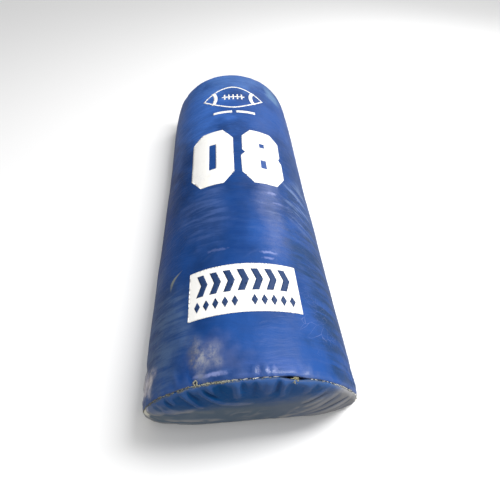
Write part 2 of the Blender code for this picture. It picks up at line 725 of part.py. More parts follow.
def make_bridge(finish):
    """The arch over the slider that the pull hangs from."""
    top = PULL_AXIS_Z - PULL_BAR_DIAMETER / 2 - RUNNING_GAP
    foot = PLATE_LOW + PLATE_THICKNESS / 2
    half = BRIDGE_LENGTH / 2
    leg = BRIDGE_THICKNESS
    outer = [(SLIDER_Y - half, foot), (SLIDER_Y - half, top), (SLIDER_Y - half + leg, top - leg)]
    outer += [(SLIDER_Y + half - leg, top - leg), (SLIDER_Y + half, top), (SLIDER_Y + half, foot)]
    inner = [(SLIDER_Y + half - leg, foot), (SLIDER_Y + half - leg, top), (SLIDER_Y - half + leg, top)]
    inner += [(SLIDER_Y - half + leg, foot)]
    return prism("slider_bridge", outer + inner, -BRIDGE_WIDTH / 2, BRIDGE_WIDTH, 0, finish)


def make_pull(finish):
    """The pull: a flat grip with a window for the bridge and a round bar under it."""
    window = BRIDGE_WIDTH / 2 + PULL_SIDE_GAP
    arm = window + PULL_ARM_WIDTH
    half = PULL_GRIP_WIDTH / 2
    right = [(arm, 0.0)] + [(share * half, -along * PULL_LENGTH) for along, share in PULL_PLAN_SHARES]
    outline = right + [(-x, y) for x, y in right[::-1]]
    low = -PULL_THICKNESS / 2
    depth = PULL_THICKNESS + 2 * OVERRUN
    made = prism("zipper_pull", outline, low, PULL_THICKNESS, 2, finish)
    reach = BRIDGE_LENGTH / 2 + PULL_SIDE_GAP
    hole = [(window, PULL_BAR_DIAMETER), (window, -reach), (-window, -reach), (-window, PULL_BAR_DIAMETER)]
    cutter = prism("pull_window", hole, low - OVERRUN, depth, 2, finish)
    slot_y = -PULL_LENGTH + PULL_SLOT_LENGTH / 2 + PULL_SLOT_WIDTH
    slot = prism("pull_slot", slot_outline(slot_y), low - OVERRUN, depth, 2, finish)
    bar = prism("pull_bar", circle(PULL_BAR_DIAMETER / 2), -arm, 2 * arm, 0, finish)
    join_form(made, cutter, "DIFFERENCE")
    join_form(made, slot, "DIFFERENCE")
    join_form(made, bar, "UNION")
    place = Matrix.Translation((0.0, SLIDER_Y, PULL_AXIS_Z))
    for each in (made, cutter, slot, bar):
        each.matrix_world = place
    return made


def circle(radius):
    """Points round a circle."""
    turns = [2 * math.pi * i / ROUND_STEPS for i in range(ROUND_STEPS)]
    return [(radius * math.cos(turn), radius * math.sin(turn)) for turn in turns]


def slot_outline(centre_y):
    """A slot with round ends, along the pull."""
    radius = PULL_SLOT_WIDTH / 2
    run = PULL_SLOT_LENGTH / 2 - radius
    half = ROUND_STEPS // 2
    points = []
    for side in (1, -1):
        for i in range(half + 1):
            turn = math.pi * i / half + (0.0 if side > 0 else math.pi)
            points.append((radius * math.cos(turn), centre_y + side * run + radius * math.sin(turn)))
    return points


def rounded_outline(centre, half_x, half_y, radius):
    """A rectangle with round corners."""
    points = []
    for corner, (sx, sy) in enumerate(((1, 1), (-1, 1), (-1, -1), (1, -1))):
        for i in range(FILLET_STEPS + 1):
            turn = math.pi / 2 * (corner + i / FILLET_STEPS)
            x = centre[0] + sx * (half_x - radius) + radius * math.cos(turn)
            points.append((x, centre[1] + sy * (half_y - radius) + radius * math.sin(turn)))
    return points


def make_handle(label, side, finishes):
    """A web handle: the strap, the sleeve round its middle and the patch under each end."""
    x = side * HANDLE_X
    strap_low = STRAP_Z - WEB_THICKNESS / 2
    strap_high = STRAP_Z + WEB_THICKNESS / 2
    outline = rounded_outline((x, HANDLE_Y), WEB_WIDTH / 2, STRAP_LENGTH / 2, SLEEVE_WALL)
    prism(label + "_handle_strap", outline, strap_low, WEB_THICKNESS, 2, finishes["webbing"])
    patch_low = strap_high + SEAT_GAP
    patch_high = RECESS_DEPTH - SEAT_GAP
    for end, along in (("foot", -1), ("head", 1)):
        centre = (x, HANDLE_Y + along * PATCH_Y)
        outline = rounded_outline(centre, PATCH_SIDE / 2, PATCH_SIDE / 2, PATCH_CORNER)
        name = label + "_handle_patch_" + end
        prism(name, outline, patch_low, patch_high - patch_low, 2, finishes["handle_vinyl"])
    make_sleeve(label + "_handle_sleeve", x, finishes["handle_vinyl"])


def make_sleeve(name, x, finish):
    """The tube of padded vinyl that the hand closes round; the strap runs through it."""
    half_y = SLEEVE_LENGTH / 2
    outer = rounded_outline((0.0, 0.0), SLEEVE_WIDTH / 2, SLEEVE_HEIGHT / 2, SLEEVE_WALL)
    inner = rounded_outline(
        (0.0, 0.0), SLEEVE_WIDTH / 2 - SLEEVE_WALL, SLEEVE_HEIGHT / 2 - SLEEVE_WALL, SEAT_GAP
    )
    ends = []
    for y in (-half_y, half_y):
        ends.append([[Vector((px, y, pz)) for px, pz in loop] for loop in (outer, inner)])
    (outer_a, inner_a), (outer_b, inner_b) = ends
    faces = grid_faces([inner_a, outer_a, outer_b, inner_b, inner_a], closed_columns=True)
    made = add_solid(name, faces, finish)
    made.location = (x, HANDLE_Y, STRAP_Z)
    return made


def build():
    """Makes every piece of the bag."""
    clear_scene()
    finishes = make_materials()
    make_front_cover(finishes["cover_vinyl"])
    make_back_panel(finishes["back_vinyl"])
    make_end_cap("foot_end_cap", -1, finishes["cover_vinyl"])
    make_end_cap("head_end_cap", 1, finishes["cover_vinyl"])
    make_core(finishes["rebond_foam"])
    make_wrap(finishes["soft_foam"])
    make_back_pad(finishes["soft_foam"])
    make_end_disc("foot_foam_disc", -1, finishes["soft_foam"])
    make_end_disc("head_foam_disc", 1, finishes["soft_foam"])
    make_zipper_half("zipper_half_left", -1, finishes["zipper_tape"])
    make_zipper_half("zipper_half_right", 1, finishes["zipper_tape"])
    make_slider(finishes["zipper_metal"])
    make_pull(finishes["zipper_metal"])
    make_top_stop("zipper_top_stop_left", -1, finishes["zipper_metal"])
    make_top_stop("zipper_top_stop_right", 1, finishes["zipper_metal"])
    make_bottom_stop(finishes["zipper_metal"])
    make_handle("left", -1, finishes)
    make_handle("right", 1, finishes)


build()
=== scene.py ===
"""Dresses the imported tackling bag: sewn vinyl over foam, prints, zipper and web handles, in a plain studio.

Metres, +Z up. The bag lies along Y with its foot end at -Y, and its flat back rests on the floor.
Places on the cover are given as (along, y): the way round the arch from the crown, + to the right, and Y.
"""

import math

import bmesh
import bpy
import numpy as np
from mathutils import Matrix, Vector, geometry, noise
from mathutils.kdtree import KDTree


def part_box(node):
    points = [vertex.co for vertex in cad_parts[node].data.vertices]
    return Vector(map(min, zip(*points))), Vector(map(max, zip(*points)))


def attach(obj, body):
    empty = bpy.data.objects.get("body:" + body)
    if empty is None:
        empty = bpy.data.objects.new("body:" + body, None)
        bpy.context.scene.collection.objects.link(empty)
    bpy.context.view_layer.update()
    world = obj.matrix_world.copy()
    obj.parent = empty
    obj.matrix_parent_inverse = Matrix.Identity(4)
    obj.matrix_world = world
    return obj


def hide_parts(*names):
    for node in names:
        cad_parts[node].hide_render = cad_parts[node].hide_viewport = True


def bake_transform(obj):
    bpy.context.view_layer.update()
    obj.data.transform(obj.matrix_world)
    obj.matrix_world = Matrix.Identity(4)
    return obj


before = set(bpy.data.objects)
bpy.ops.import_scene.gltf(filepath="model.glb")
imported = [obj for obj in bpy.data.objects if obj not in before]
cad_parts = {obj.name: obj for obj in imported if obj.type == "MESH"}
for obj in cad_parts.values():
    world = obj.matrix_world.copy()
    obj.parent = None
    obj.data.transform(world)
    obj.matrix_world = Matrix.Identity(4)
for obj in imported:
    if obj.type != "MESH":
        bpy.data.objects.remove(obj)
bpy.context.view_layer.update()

bl_info = {
    "name": "Tackling bag dresser",
    "version": (1, 0, 0),
    "blender": (4, 5, 0),
    "location": "3D View > Sidebar > Tackling bag",
    "description": "Builds the sewn cover, prints, foam, zipper and handles of a half-round tackling bag",
    "category": "Object",
}


class BagSizes(bpy.types.PropertyGroup):
    """Sizes of the sewn cover."""

    body_width: bpy.props.FloatProperty(
        name="Body width", description="Width of the straight body", default=0.457, unit="LENGTH"
    )
    body_height: bpy.props.FloatProperty(
        name="Body height", description="Height of the crown above the floor", default=0.229, unit="LENGTH"
    )
    edge_radius: bpy.props.FloatProperty(
        name="Edge radius", description="Radius of the two long lower edges", default=0.014, unit="LENGTH"
    )
    seam_y: bpy.props.FloatProperty(
        name="End seam", description="Distance of each end seam from the middle", default=0.6025, unit="LENGTH"
    )
    seam_dip: bpy.props.FloatProperty(
        name="Seam dip", description="How far the end seams are drawn in", default=0.0035, unit="LENGTH"
    )
    vinyl: bpy.props.FloatProperty(
        name="Vinyl thickness", description="Thickness of the coated fabric", default=0.0008, unit="LENGTH"
    )
    cap_crown: bpy.props.FloatProperty(
        name="Cap crown", description="How far the middle of an end panel swells out", default=0.016, unit="LENGTH"
    )
    ear_out: bpy.props.FloatProperty(
        name="Loose corner", description="How far the right corners stand out sideways", default=0.013, unit="LENGTH"
    )
    waist: bpy.props.FloatProperty(
        name="Waist", description="How far the sides draw in beside the foot corners", default=0.008, unit="LENGTH"
    )
    film: bpy.props.FloatProperty(
        name="Ink film", description="Thickness of the printed ink", default=0.0003, unit="LENGTH"
    )


class BagColours(bpy.types.PropertyGroup):
    """Colours of the bag."""

    cover: bpy.props.FloatVectorProperty(
        name="Vinyl", description="The cover's own blue", default=(0.0095, 0.05, 0.2), subtype="COLOR"
    )
    ink: bpy.props.FloatVectorProperty(
        name="White ink", description="The white of the prints", default=(0.9, 0.89, 0.86), subtype="COLOR"
    )
    dark_ink: bpy.props.FloatVectorProperty(
        name="Dark ink", description="The navy of the panel's pattern", default=(0.016, 0.042, 0.125), subtype="COLOR"
    )
    thread: bpy.props.FloatVectorProperty(
        name="Thread", description="The pale sewing thread", default=(0.42, 0.42, 0.32), subtype="COLOR"
    )
    foam: bpy.props.FloatVectorProperty(
        name="Foam", description="The soft foam, yellowed with age", default=(0.7, 0.52, 0.2), subtype="COLOR"
    )
    metal: bpy.props.FloatVectorProperty(
        name="Metal", description="The nickel of the zipper's slider", default=(0.6, 0.57, 0.52), subtype="COLOR"
    )


class StageSettings(bpy.types.PropertyGroup):
    """Light of the studio."""

    sky: bpy.props.FloatProperty(
        name="Sky", description="Strength of the light from above and all round", default=1.0
    )
    key_power: bpy.props.FloatProperty(
        name="Key light", description="Power of the large light at the upper right", default=62.0, unit="POWER"
    )
    key_width: bpy.props.FloatProperty(
        name="Key width", description="Width of the large light", default=1.5, unit="LENGTH"
    )
    back_power: bpy.props.FloatProperty(
        name="Back light", description="Power of the light beyond the head end", default=6.0, unit="POWER"
    )
    fill_power: bpy.props.FloatProperty(
        name="Fill light", description="Power of the faint low light before the foot end", default=8.0, unit="POWER"
    )


# Mesh steps of the cover
COLUMNS = 176
FINE_STEP = 0.004
COARSE_STEP = 0.0056
END_ZONE = 0.16
ROLL = 0.008
ROLL_SHARES = (0.0, 0.05, 0.14, 0.28, 0.46, 0.7)
FLANGE = 0.007
SEAM_GAP = 0.0004

# Mesh steps of the end panels
RIM = 0.009
RIM_DEPTH = 0.0055
RIM_SHARES = (0.04, 0.13, 0.28, 0.5, 0.78)
LATTICE = 0.0038

# How far the cloth simulation may move a point of the cover and of an end panel
COVER_GIVE = 0.007
CAP_GIVE = 0.013
INWARD_GIVE = 0.003

# Lowest height of any point of the cover over the floor
FLOOR_GAP = 0.0004

# The fuller half towards the head end
FULL_PLACE = 0.44
FULL_SPREAD = 0.16
FULL_OUT = 0.0046

# The head end's share of the waist beside the foot corners
HEAD_WAIST = 0.1

# Standing out by this much makes a fold count as 1 in the finishes
FOLD_UNIT = 0.0009
FOLD_ROUNDS = 14

# Loose corners
EAR_REACH = 0.045
EAR_HEIGHT = 0.04
WAIST_AWAY = 0.043
WAIST_SPREAD = 0.017
WAIST_HEIGHT = 0.1
CORNER_DRAW = 0.015
CORNER_CURL = 0.008
LEFT_PINCHES = ((1.0, 0.037, 0.01), (0.9, 0.088, 0.012))

# The stretch of the foot seam that has come open
OPEN_FROM = 0.052
OPEN_TO = 0.113
OPEN_BACK = 0.0026
OPEN_RISE = 0.0006
OPEN_CAP = (0.0, -0.0012, -0.0024)


def sizes():
    """The cover's sizes as the user set them."""
    return bpy.context.scene.bag_sizes


def colour(name):
    """One of the bag's colours as the user set it."""
    return tuple(getattr(bpy.context.scene.bag_colours, name))


def darker(shade, share):
    """A colour with its parts times a share."""
    return tuple(share * part for part in shade)


def smooth(values):
    """Values from 0 to 1 with soft ends."""
    values = np.clip(values, 0.0, 1.0)
    return values * values * (3 - 2 * values)


def ripple(places, wavelength, seed):
    """Smooth random numbers from -1 to 1 along a line."""
    stops = np.random.default_rng(seed).uniform(-1, 1, 512)
    at = places / wavelength + 256
    low = np.floor(at).astype(int)
    share = smooth(at - low)
    return stops[low % 512] * (1 - share) + stops[(low + 1) % 512] * share


def lumps(points, size, seed):
    """Smooth random numbers from about -1 to 1 in space, with lumps of that size."""
    shift = Vector((seed * 7.31, seed * 3.17, seed * 5.73))
    return np.array([noise.noise(Vector(point) / size + shift) for point in points])


def outline(count, inset=0.0):
    """The half-round section from its left long seam to its right one.

    Returns arc positions (0 at the crown), x, z and the outward normals' x and z at evenly spaced places.
    """
    size = sizes()
    radius = size.edge_radius
    wide = size.body_width / 2
    high = size.body_height - radius
    corner = np.linspace(1.5 * math.pi, math.pi, 60)[:-1]
    dome = np.linspace(math.pi, 0.0, 900)
    left = np.stack([radius - wide + radius * np.cos(corner), radius + radius * np.sin(corner)])
    left_normal = np.stack([np.cos(corner), np.sin(corner)])
    top = np.stack([wide * np.cos(dome), radius + high * np.sin(dome)])
    top_normal = np.stack([np.cos(dome) / wide, np.sin(dome) / high])
    top_normal /= np.hypot(*top_normal)
    flip = np.array([[-1.0], [1.0]])
    spots = np.concatenate([left, top, (left * flip)[:, ::-1]], axis=1)
    normals = np.concatenate([left_normal, top_normal, (left_normal * flip)[:, ::-1]], axis=1)
    steps = np.hypot(*np.diff(spots, axis=1))
    arc = np.concatenate([[0.0], np.cumsum(steps)])
    arc -= arc[-1] / 2
    even = np.linspace(arc[0], arc[-1], count)
    x, z, nx, nz = (np.interp(even, arc, row) for row in (*spots, *normals))
    return even, x - nx * inset, z - nz * inset, nx, nz


def corner_shift(x, z, away, waist, y):
    """Sideways shift near an end: the right corner stands out, the left one is drawn in; both sides have a waist."""
    size = sizes()
    seam_x = size.body_width / 2 - size.edge_radius
    side = np.clip((np.abs(x) - 0.6 * seam_x) / (0.4 * seam_x), 0, 1) ** 2
    ear = size.ear_out * np.clip(1 - away / EAR_REACH, 0, 1) ** 2 * np.clip(1 - z / EAR_HEIGHT, 0, 1) ** 2
    drawn = -0.0075 * np.exp(-((away / 0.02) ** 2)) * np.clip(1 - z / 0.15, 0, 1)
    low = np.clip(1 - z / WAIST_HEIGHT, 0, 1)
    right_pinch = np.exp(-(((away - WAIST_AWAY) / WAIST_SPREAD) ** 2)) * low
    left_pinch = sum(share * np.exp(-(((away - place) / spread) ** 2)) for share, place, spread in LEFT_PINCHES)
    left_pinch = left_pinch * np.clip(1 - z / 0.17, 0, 1)
    left = (np.asarray(x) < 0) & (np.asarray(y) < 0)
    return np.sign(x) * side * np.where(left, drawn - waist * left_pinch, ear - waist * right_pinch)


def corner_draw(x, z, away, y):
    """How far the loose corners are drawn in along the bag."""
    share = np.where(np.asarray(y) < 0, 1.0, 0.4)
    out = np.clip(np.abs(x) / sizes().body_width * 2.12, 0, 1.1) ** 3
    return CORNER_DRAW * share * out * smooth(1 - z / 0.13) * np.clip(1 - away / 0.11, 0, 1) ** 2


def corner_lift(x, z, away):
    """How far a loose corner curls up off the floor near the end seam."""
    size = sizes()
    out = smooth((np.abs(x) / size.body_width * 2 - 0.72) / 0.28)
    return CORNER_CURL * out * np.clip(1 - away / 0.07, 0, 1) ** 2 * np.clip(1 - z / 0.05, 0, 1)


def waist_at(y):
    """How far the sides are drawn in beside an end."""
    return np.where(y < 0, 1.0, HEAD_WAIST) * sizes().waist


def gathers(along, away, pitch, reach, slant, seed):
    """Gathers that start at a seam: narrow valleys between round ridges, dying out away from it."""
    lane = along + slant * away + 0.6 * pitch * ripple(along, 4 * pitch, seed)
    ridges = 2 * np.abs(ripple(lane, pitch, seed + 1)) ** 0.7 - 1
    local_reach = reach * (0.75 + 0.6 * ripple(along + slant * away, 2.5 * pitch, seed + 2))
    return ridges * np.exp(-away / local_reach) * (0.35 + 0.65 * smooth(away / 0.006))


def cover_places():
    """Places along the bag of the cover's rows, finer towards both end seams."""
    seam = sizes().seam_y
    away = np.concatenate([ROLL * np.array(ROLL_SHARES), np.arange(ROLL, END_ZONE, FINE_STEP)])
    count = int(round(2 * (seam - END_ZONE) / COARSE_STEP))
    middle = np.linspace(END_ZONE - seam, seam - END_ZONE, count)
    return np.concatenate([away - seam, middle, (seam - away)[::-1]])


def seam_wave(along, side):
    """How the end seam wanders inwards and lengthways."""
    deep = 0.0007 * ripple(along, 0.022, 40 + side) + 0.0006 * ripple(along, 0.07, 44 + side)
    out = 0.0012 * ripple(along, 0.045, 48 + side)
    return deep, out


def crumpled(along, y):
    """Where the vinyl is crumpled, from 0 to 1: on the right below the numerals, and beside the foot corners."""
    right = smooth((along + 0.03) / 0.09) * smooth((0.26 - along) / 0.06)
    middle = smooth((0.02 - y) / 0.07) * smooth((y + 0.4) / 0.1)
    foot = smooth((-y - 0.44) / 0.08) * smooth((np.abs(along) - 0.17) / 0.06)
    return np.clip(0.75 * right * middle + 0.7 * foot, 0, 1)


# The folds of the foot end panel: height, half width, and the way they run as x, z, x, z and so on, in millimetres.
# Those above 0 are crests, and the others are valleys.
END_FOLDS = (
    (3.4, 5.5, 201, 116, 193, 104, 181, 97, 165, 90, 143, 78, 112, 64),
    (3.0, 6.0, 170, 148, 153, 136, 136, 124, 118, 112, 98, 98, 74, 84, 52, 70),
    (2.4, 5.0, 140, 170, 124, 156, 107, 144, 92, 136),
    (2.6, 6.5, 147, 146, 118, 134, 91, 121, 74, 96, 59, 64, 46, 36),
    (2.2, 4.5, 200, 84, 184, 74, 160, 64, 128, 50),
    (2.0, 5.5, 186, 60, 160, 46, 126, 34, 90, 26),
    (-2.8, 4.0, 189, 112, 165, 99, 140, 88, 118, 78),
    (-2.4, 4.5, 171, 133, 135, 112, 112, 102, 88, 90),
    (-2.2, 4.0, 196, 93, 172, 84, 146, 70),
    (-2.2, 5.0, 150, 158, 128, 145, 104, 132, 84, 110, 66, 78),
    (2.6, 4.0, 66, 231, 64, 219, 60, 207, 57, 192, 60, 176),
    (-1.5, 7.5, 74, 226, 75, 214, 76, 190, 74, 168),
    (2.6, 9.0, 36, 234, 36, 222, 35, 206, 34, 186),
    (-1.4, 6.0, 53, 228, 53, 216, 52, 199, 50, 181),
    (2.0, 6.0, 22, 236, 22, 224, 21, 213, 20, 200),
    (2.2, 9.0, 102, 216, 103, 204, 104, 188, 101, 168),
    (-1.4, 9.0, 12, 234, 11, 222, 9, 200, 6, 176),
    (3.6, 5.0, -125, 208, -121, 196, -113, 186, -103, 174, -93, 160, -80, 152),
    (-2.6, 5.0, -111, 212, -106, 200, -97, 188, -86, 176),
    (3.4, 5.5, -89, 221, -84, 209, -75, 193, -63, 179, -46, 170, -20, 165, 10, 162),
    (-3.2, 4.5, -92, 224, -88, 212, -80, 204, -68, 193, -54, 183),
    (2.6, 4.0, -72, 229, -70, 217, -66, 206, -62, 196),
    (-1.9, 10.0, -48, 230, -47, 218, -46, 200, -42, 184),
    (3.2, 6.5, -19, 235, -19, 223, -20, 206, -21, 184),
    (-1.4, 4.5, -7, 236, -8, 224, -10, 214, -12, 200),
    (2.2, 4.5, -143, 180, -139, 168, -132, 158),
    (-2.0, 4.5, -152, 172, -147, 160, -138, 150),
    (2.0, 5.0, -168, 152, -162, 140, -150, 130),
    (3.0, 7.0, -196, 100, -178, 118, -146, 134, -112, 142, -86, 152),
    (1.8, 8.0, -170, 84, -130, 96, -84, 96, -40, 84),
    (-1.8, 6.0, -180, 70, -138, 80, -92, 76, -50, 62),
    (1.4, 7.0, -150, 44, -96, 50, -30, 46, 20, 52),
    (-1.4, 7.0, -60, 110, -10, 112, 36, 120),
)

# The folds of the cover, in the same way, but their places are along and y.
COVER_FOLDS = (
    (0.9, 3.0, 146, -118, 178, -126, 204, -144),
    (-0.8, 3.0, 146, -132, 178, -142, 206, -162),
    (0.9, 3.0, 144, -146, 176, -158, 204, -178),
    (-0.7, 3.0, 142, -160, 174, -174, 200, -192),
    (0.8, 3.0, 172, -64, 198, -72, 222, -94),
    (0.8, 3.0, 134, -196, 155, -206, 170, -224),
    (0.6, 3.0, 52, -161, 89, -158, 122, -162),
    (-0.5, 2.5, 58, -176, 92, -173, 122, -175),
    (0.6, 3.0, 60, -193, 89, -188, 124, -189),
    (0.6, 3.0, 46, -226, 82, -223, 108, -221),
    (-0.5, 3.0, 50, -244, 84, -240, 106, -240),
    (0.6, 3.0, 30, -289, 60, -287, 90, -286),
    (0.7, 3.0, 50, -329, 64, -328, 80, -330),
    (0.5, 3.5, -30, -218, -8, -222, 16, -227),
    (0.5, 3.0, 50, -126, 81, -108, 114, -96),
    (0.5, 3.0, 0, -246, 29, -251, 50, -246),
    (0.7, 3.5, 4, -346, 29, -326, 54, -312),
    (0.5, 3.5, -90, -340, -66, -322, -44, -310),
    (-0.6, 4.0, -60, -60, -20, -96, 30, -118),
    (0.6, 4.0, 150, 330, 190, 300, 220, 250),
    (-0.6, 4.0, -190, 60, -170, 10, -150, -50),
    (1.8, 5.0, -72, -588, -56, -589, -40, -588, -26, -586),
    (1.6, 4.0, 10, -600, 12, -592, 12, -582),
    (1.6, 4.5, 30, -600, 31, -590, 33, -580),
    (1.4, 3.5, 42, -600, 43, -592, 44, -584),
    (-1.4, 4.0, 21, -600, 21, -590, 22, -582),
    (1.4, 5.0, 112, -600, 113, -590, 115, -578),
    (-1.2, 5.0, -96, -600, -100, -586, -108, -570),
    (1.4, 5.0, -128, -598, -134, -584, -144, -566),
    (2.2, 6.0, -262, -598, -254, -580, -250, -560, -240, -536),
    (-2.2, 5.0, -246, -600, -240, -582, -236, -560, -226, -536),
    (2.0, 5.0, -232, -602, -224, -584, -218, -566),
    (-2.0, 5.0, -284, -590, -276, -570, -270, -548),
    (2.4, 6.0, -304, -590, -296, -566, -292, -544),
    (1.8, 5.0, 250, -596, 244, -578, 240, -560),
    (-1.8, 4.5, 264, -590, 256, -572, 250, -556),
    (2.0, 5.0, 286, -590, 276, -568, 272, -550),
)


def folded(spots, folds):
    """Height of listed folds over some places in a plane; each dies out softly at its ends and sides."""
    total = np.zeros(len(spots))
    for height, half_width, *path in folds:
        path = np.reshape(path, (-1, 2)) / 1000
        run = np.concatenate([[0.0], np.cumsum(np.hypot(*np.diff(path, axis=0).T))])
        even = np.linspace(0, run[-1], max(8, int(run[-1] / 0.0015)))
        line = np.stack([np.interp(even, run, path[:, axis]) for axis in (0, 1)], 1)
        reach = 4 * half_width / 1000
        near = ((spots > line.min(axis=0) - reach) & (spots < line.max(axis=0) + reach)).all(axis=1)
        gaps = np.linalg.norm(spots[near][:, None] - line, axis=2)
        which = gaps.argmin(axis=1)
        distance = gaps.min(axis=1) / half_width * 1000
        end = np.sin(math.pi * (which + 0.5) / len(even)) ** 0.6
        total[near] += height / 1000 * end * (1.25 * np.exp(-(distance**2)) - 0.25 * np.exp(-(distance / 2.2) ** 2))
    return total


def cover_relief(along, y, points):
    """How far the cover stands out of its even shape: waves, creases and gathers."""
    seam = sizes().seam_y
    foot, head = y + seam, seam - y
    waves = 0.0016 * lumps(points, 0.16, 1) + 0.0006 * lumps(points, 0.055, 2)
    across = points * np.array([0.55, 1.0, 0.8]) + np.array([0.0, 0.25, 0.0]) * points[:, :1]
    slack = crumpled(along, y)
    creases = np.abs(lumps(across, 0.02, 4)) * 0.0016 + np.abs(lumps(across, 0.01, 5)) * 0.0006
    relief = waves - slack * (0.0009 - creases)
    relief += 0.0012 * gathers(along, foot, 0.016, 0.02, 0.15, 10)
    relief += 0.0012 * gathers(along, head, 0.018, 0.022, -0.2, 14)
    edge = smooth(np.minimum(foot, head) / 0.012)
    return relief * (0.3 + 0.7 * edge) + folded(np.column_stack([along, y]), COVER_FOLDS)


def cover_grid():
    """The front cover's outer surface before it settles, as rows of points along the bag."""
    size = sizes()
    along, x, z, nx, nz = outline(COLUMNS)
    y = cover_places()
    away = size.seam_y - np.abs(y)
    roll = np.clip(1 - away / ROLL, 0, 1)
    inset = size.seam_dip * (1 - np.sqrt(1 - roll**2))
    grid_y, grid_s = np.meshgrid(y, along, indexing="ij")
    even = np.stack([np.broadcast_to(x, grid_y.shape), grid_y, np.broadcast_to(z, grid_y.shape)], axis=-1)
    normal = np.stack([np.broadcast_to(nx, grid_y.shape), 0 * grid_y, np.broadcast_to(nz, grid_y.shape)], axis=-1)
    relief = cover_relief(grid_s.ravel(), grid_y.ravel(), even.reshape(-1, 3)).reshape(grid_y.shape)
    low = smooth(even[..., 2] / 0.03)
    points = even + normal * (relief * low - inset[:, None])[..., None]
    points[..., 0] += corner_shift(even[..., 0], even[..., 2], away[:, None], waist_at(grid_y), grid_y)
    full = np.exp(-(((grid_y - FULL_PLACE) / FULL_SPREAD) ** 2)) * smooth(away[:, None] / 0.03)
    full = full * smooth(even[..., 2] / 0.06)
    points[..., 0] += FULL_OUT * np.clip(even[..., 0] / size.body_width * 2, -1, 1) * full
    points[..., 2] += corner_lift(even[..., 0], even[..., 2], away[:, None])
    for side, mask in ((0, y < 0), (1, y >= 0)):
        deep, out = seam_wave(along, side)
        near = np.exp(-away[mask] / 0.01)[:, None]
        points[mask] -= normal[mask] * (deep * near * low[0])[..., None]
        inward = 1 if side == 0 else -1
        drawn = corner_draw(even[mask][..., 0], even[mask][..., 2], away[mask][:, None], side - 0.5)
        points[mask, :, 1] += inward * (out * near * low[0] + drawn)
    points[..., 2] = np.maximum(points[..., 2], FLOOR_GAP)
    return points, along, y


def cap_outline(inset):
    """A closed end panel's outline at an inset: the arch from left to right, then the bottom back again."""
    _, x, z, _, _ = outline(COLUMNS, inset)
    steps = COLUMNS // 2
    bottom = np.linspace(x[-1], x[0], steps + 2)[1:-1]
    return np.concatenate([np.stack([x, z], 1), np.stack([bottom, np.full(steps, inset)], 1)])


def inside(spots, ring):
    """True for each point that lies within a closed ring of points."""
    spots, a = np.asarray(spots), np.asarray(ring)
    b = np.roll(a, -1, axis=0)
    crosses = (a[:, 1] > spots[:, None, 1]) != (b[:, 1] > spots[:, None, 1])
    rise = np.where(b[:, 1] == a[:, 1], 1.0, b[:, 1] - a[:, 1])
    at = a[:, 0] + (spots[:, None, 1] - a[:, 1]) / rise * (b[:, 0] - a[:, 0])
    return (crosses & (at > spots[:, None, 0])).sum(axis=1) % 2 == 1


def nearest(places, dense):
    """For each place, the distance to the nearest of some points and that point's number."""
    tree = KDTree(len(dense))
    for number, spot in enumerate(dense):
        tree.insert((*spot, 0.0), number)
    tree.balance()
    found = [tree.find((*place, 0.0)) for place in places]
    return np.array([each[2] for each in found]), np.array([each[1] for each in found])


def net(plan, edges):
    """Triangles over plan points that keep the given edges; the points keep their order."""
    _, _, faces, origins, _, _ = geometry.delaunay_2d_cdt([Vector(spot) for spot in plan], edges, [], 0, 1e-7)
    order = [origin[0] if origin else -1 for origin in origins]
    if min(order) < 0 or len(set(order)) != len(plan):
        raise RuntimeError("a net gained or lost points")
    return [tuple(order[i] for i in face) for face in faces]


def cap_net():
    """Plan points of an end panel and the triangles between them; the first points are its outline."""
    size = sizes()
    loops = [cap_outline(size.seam_dip)]
    loops += [cap_outline(size.seam_dip + RIM * share) for share in RIM_SHARES]
    count = len(loops[0])
    edges = [(i, (i + 1) % count) for i in range(count)]
    row_step = LATTICE * math.sqrt(3) / 2
    rows, columns = int(size.body_height / row_step), int(size.body_width / LATTICE)
    spots = [
        ((column + 0.5 * (row % 2)) * LATTICE - size.body_width / 2, row * row_step)
        for row in range(rows) for column in range(columns)
    ]
    spots = np.array(spots)
    spots = spots[inside(spots, loops[-1])]
    far, _ = nearest(spots, loops[-1])
    places = np.concatenate(loops + [spots[far > 0.7 * LATTICE]])
    faces = net(places, edges)
    middles = places[np.array(faces)].mean(axis=1)
    kept = inside(middles, loops[0])
    return places, [face for face, keep in zip(faces, kept) if keep], count


